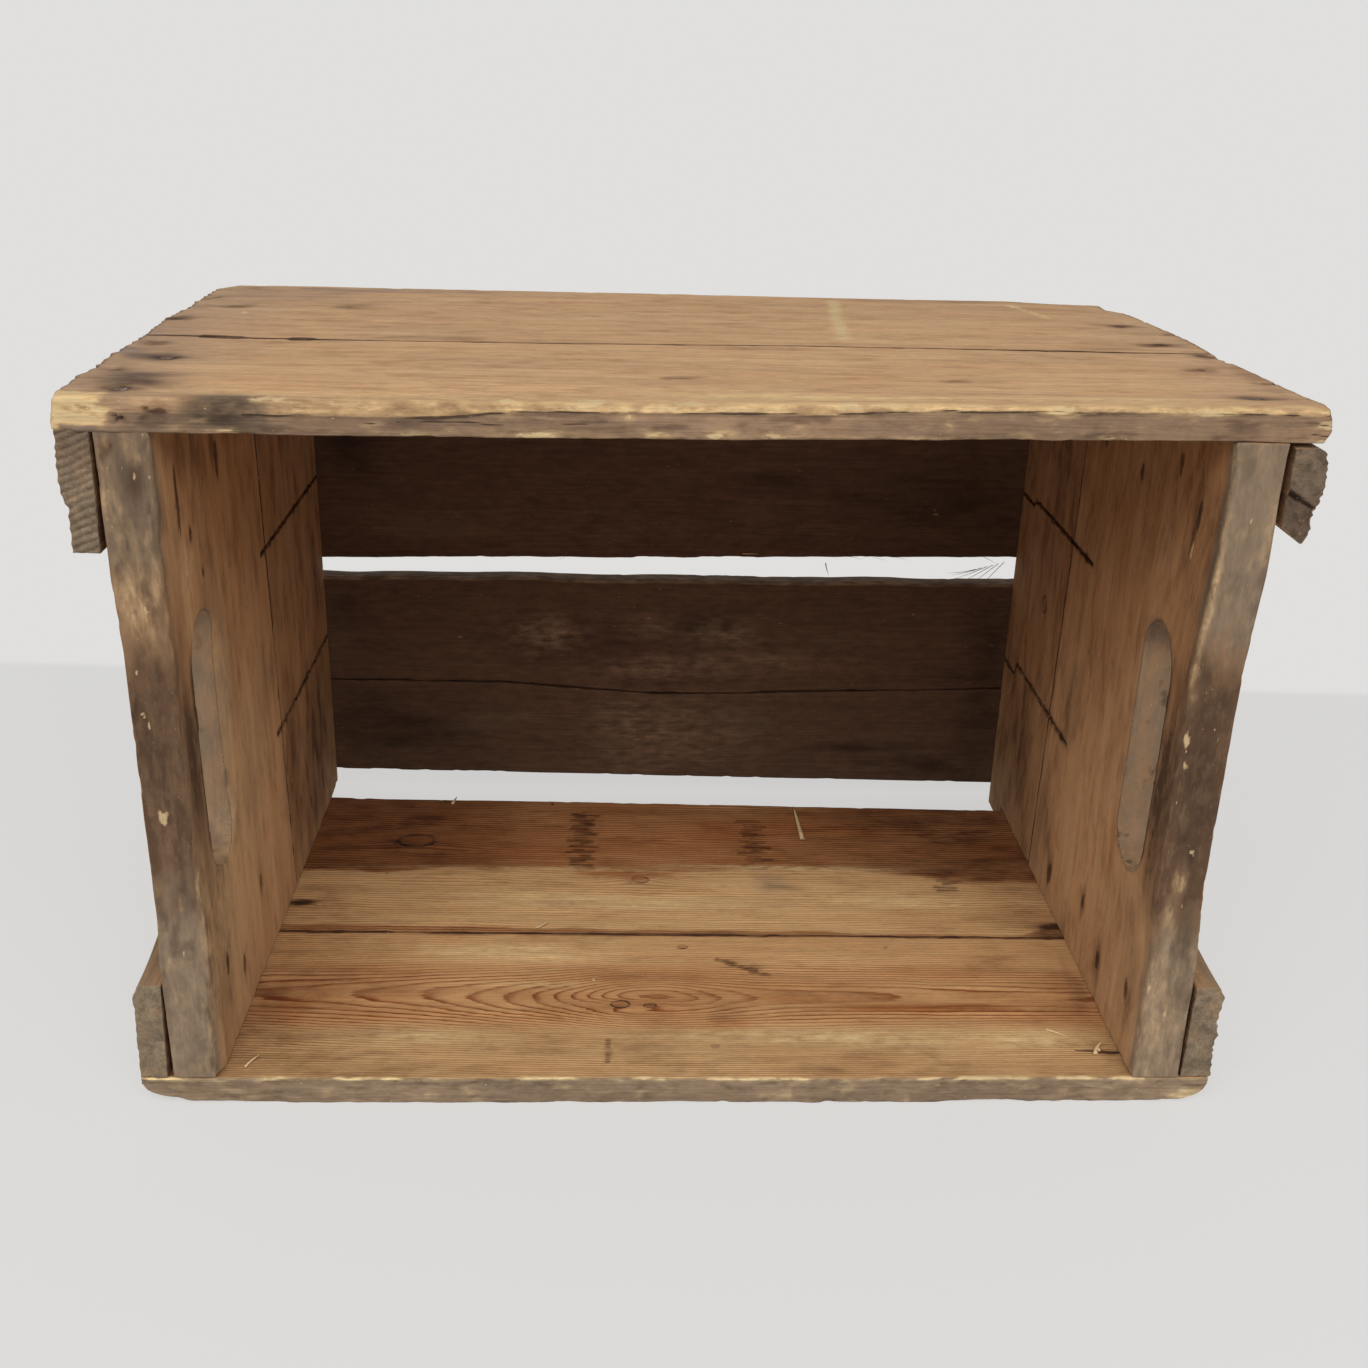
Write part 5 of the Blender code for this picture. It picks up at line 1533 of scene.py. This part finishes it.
SLAT_TONES = {**DARKENING, "sap": "#5d432f", "heart": "#4b2c1e", "late": "#3a251a", "grey": "#6d5844",
              "dirt": "#3a2a20", "bare": "#a08664", "pale": "#8a7158", "knot": "#3b2416"}
CLEAT_TONES = {**DARKENING, "sap": "#b8936a", "heart": "#a07850", "late": "#8a6848", "grey": "#88765f",
               "dirt": "#5d4a3c", "bare": "#cfae80", "pale": "#b39870", "knot": "#5f3f25"}
FIBRE_TONES = {**SIDE_TONES, "sap": "#8d7a5e", "heart": "#6f5c46"}
SHAVING_TONES = {**INNER_TONES, "sap": "#eed3a4", "heart": "#e0c08c"}
WOODS = {
    "side": softwood("pine_rough_sawn_bleached", ALONG, SIDE_TONES, 0.28, 2.0, 1.0, 0.5),
    "side_inner": softwood("pine_flat_sawn_aged", ALONG, INNER_TONES, 0.88, 6.0, 0.7, 0.45),
    "end": softwood("pine_upright_grain_stained_and_shaded", UP, END_TONES, 0.1, 9.0, 0.55, 0.6, 0.25),
    "slat": softwood("pine_soiled_dark", ALONG, SLAT_TONES, 0.25, 12.0, 0.8, 0.6),
    "cleat": softwood("pine_cleat_weathered", DEPTH, CLEAT_TONES, 0.4, 15.0, 1.0, 0.5),
    "fibre": softwood("pine_torn_fibre", ALONG, FIBRE_TONES, 0.2, 18.0),
    "shaving": softwood("pine_fresh_shaving", ALONG, SHAVING_TONES, 0.1, 21.0),
    "steel": rusty_steel("mild_steel_rusted"),
}


# --- Stage -------------------------------------------------------------------------------
SURROUND = "#e0dfdd"


def camera():
    """The view from a little above the front."""
    data = bpy.data.cameras.new("camera")
    data.lens = 40.3009
    data.sensor_width = 36
    made = bpy.data.objects.new("camera", data)
    made.location = (-0.027446, -0.692113, 0.428615)
    made.rotation_euler = (math.radians(90 - 22.88867), math.radians(-1.41146), math.radians(-1.90298))
    bpy.context.scene.collection.objects.link(made)
    bpy.context.scene.camera = made


def lamp(name, place, aim, width, height, power):
    """A broad soft lamp at a place, turned to shine at its aim."""
    data = bpy.data.lights.new(name, "AREA")
    data.shape, data.size, data.size_y, data.energy = "RECTANGLE", width, height, power
    made = bpy.data.objects.new(name, data)
    made.location = place
    way = np.array(aim, float) - np.array(place, float)
    flat = math.hypot(way[0], way[1])
    made.rotation_euler = (math.atan2(flat, -way[2]), 0, math.atan2(way[1], way[0]) - math.pi / 2)
    bpy.context.scene.collection.objects.link(made)


def stage():
    """A pale floor and a pale surround: the lens sees their own colour, lit or not."""
    world = bpy.data.worlds.new("studio")
    bpy.context.scene.world = world
    world.use_nodes = True
    tree = world.node_tree
    tree.nodes.clear()
    seen = add(tree, "Math", {n: add(tree, "LightPath", out=ray) for n, ray in
                              enumerate(("Is Camera Ray", "Is Glossy Ray"))}, operation="MAXIMUM")
    light = add(tree, "Background", {"Color": linear("#f4f6fa"), "Strength": 0.45})
    look = add(tree, "Background", {"Color": linear(SURROUND), "Strength": 1.0})
    add(tree, "OutputWorld", {0: add(tree, "MixShader", {0: seen, 1: light, 2: look})})

    mesh = bpy.data.meshes.new("floor")
    reach = 6.0
    corners = [(-reach, -reach, 0), (reach, -reach, 0), (reach, reach, 0), (-reach, reach, 0)]
    mesh.from_pydata(corners, [], [(0, 1, 2, 3)])
    floor = bpy.data.objects.new("floor", mesh)
    bpy.context.scene.collection.objects.link(floor)
    mesh.materials.append(white_board())
    lamp("soft_lamp_in_front", (-0.1, -1.25, 1.35), (0.0, 0.0, 0.15), 2.6, 0.9, 25.0)


def white_board():
    """Matt white board. It shines by its own colour to the lens, less on the near side of a
    line behind the crate, where shadows have to show."""
    material, tree = blank_material("matt_white_board")
    place = add(tree, "TexCoord", out="Object")
    across, depth = (add(tree, "SeparateXYZ", {0: place}, out) for out in (0, 1))
    line = add(tree, "Math", {0: across, 1: 0.035, 2: depth}, operation="MULTIPLY_ADD")
    beyond = add(tree, "MapRange", {"Value": line, 1: 0.328, 2: 0.338})
    own = add(tree, "Mix", {0: beyond, 2: 0.75, 3: 1.0}, data_type="FLOAT")
    camera_ray = add(tree, "LightPath", out="Is Camera Ray")
    seen = add(tree, "Math", {0: camera_ray, 1: own}, operation="MULTIPLY")
    matt = add(tree, "BsdfDiffuse", {"Color": linear(SURROUND)})
    look = add(tree, "Emission", {"Color": linear(SURROUND)})
    add(tree, "OutputMaterial", {0: add(tree, "MixShader", {0: seen, 1: matt, 2: look})})
    return material


camera()
stage()
upper_side()
lower_side()
ends()
slats()
splinters()
cleats()
all_nails()

bpy.context.scene.view_settings.view_transform = "Standard"
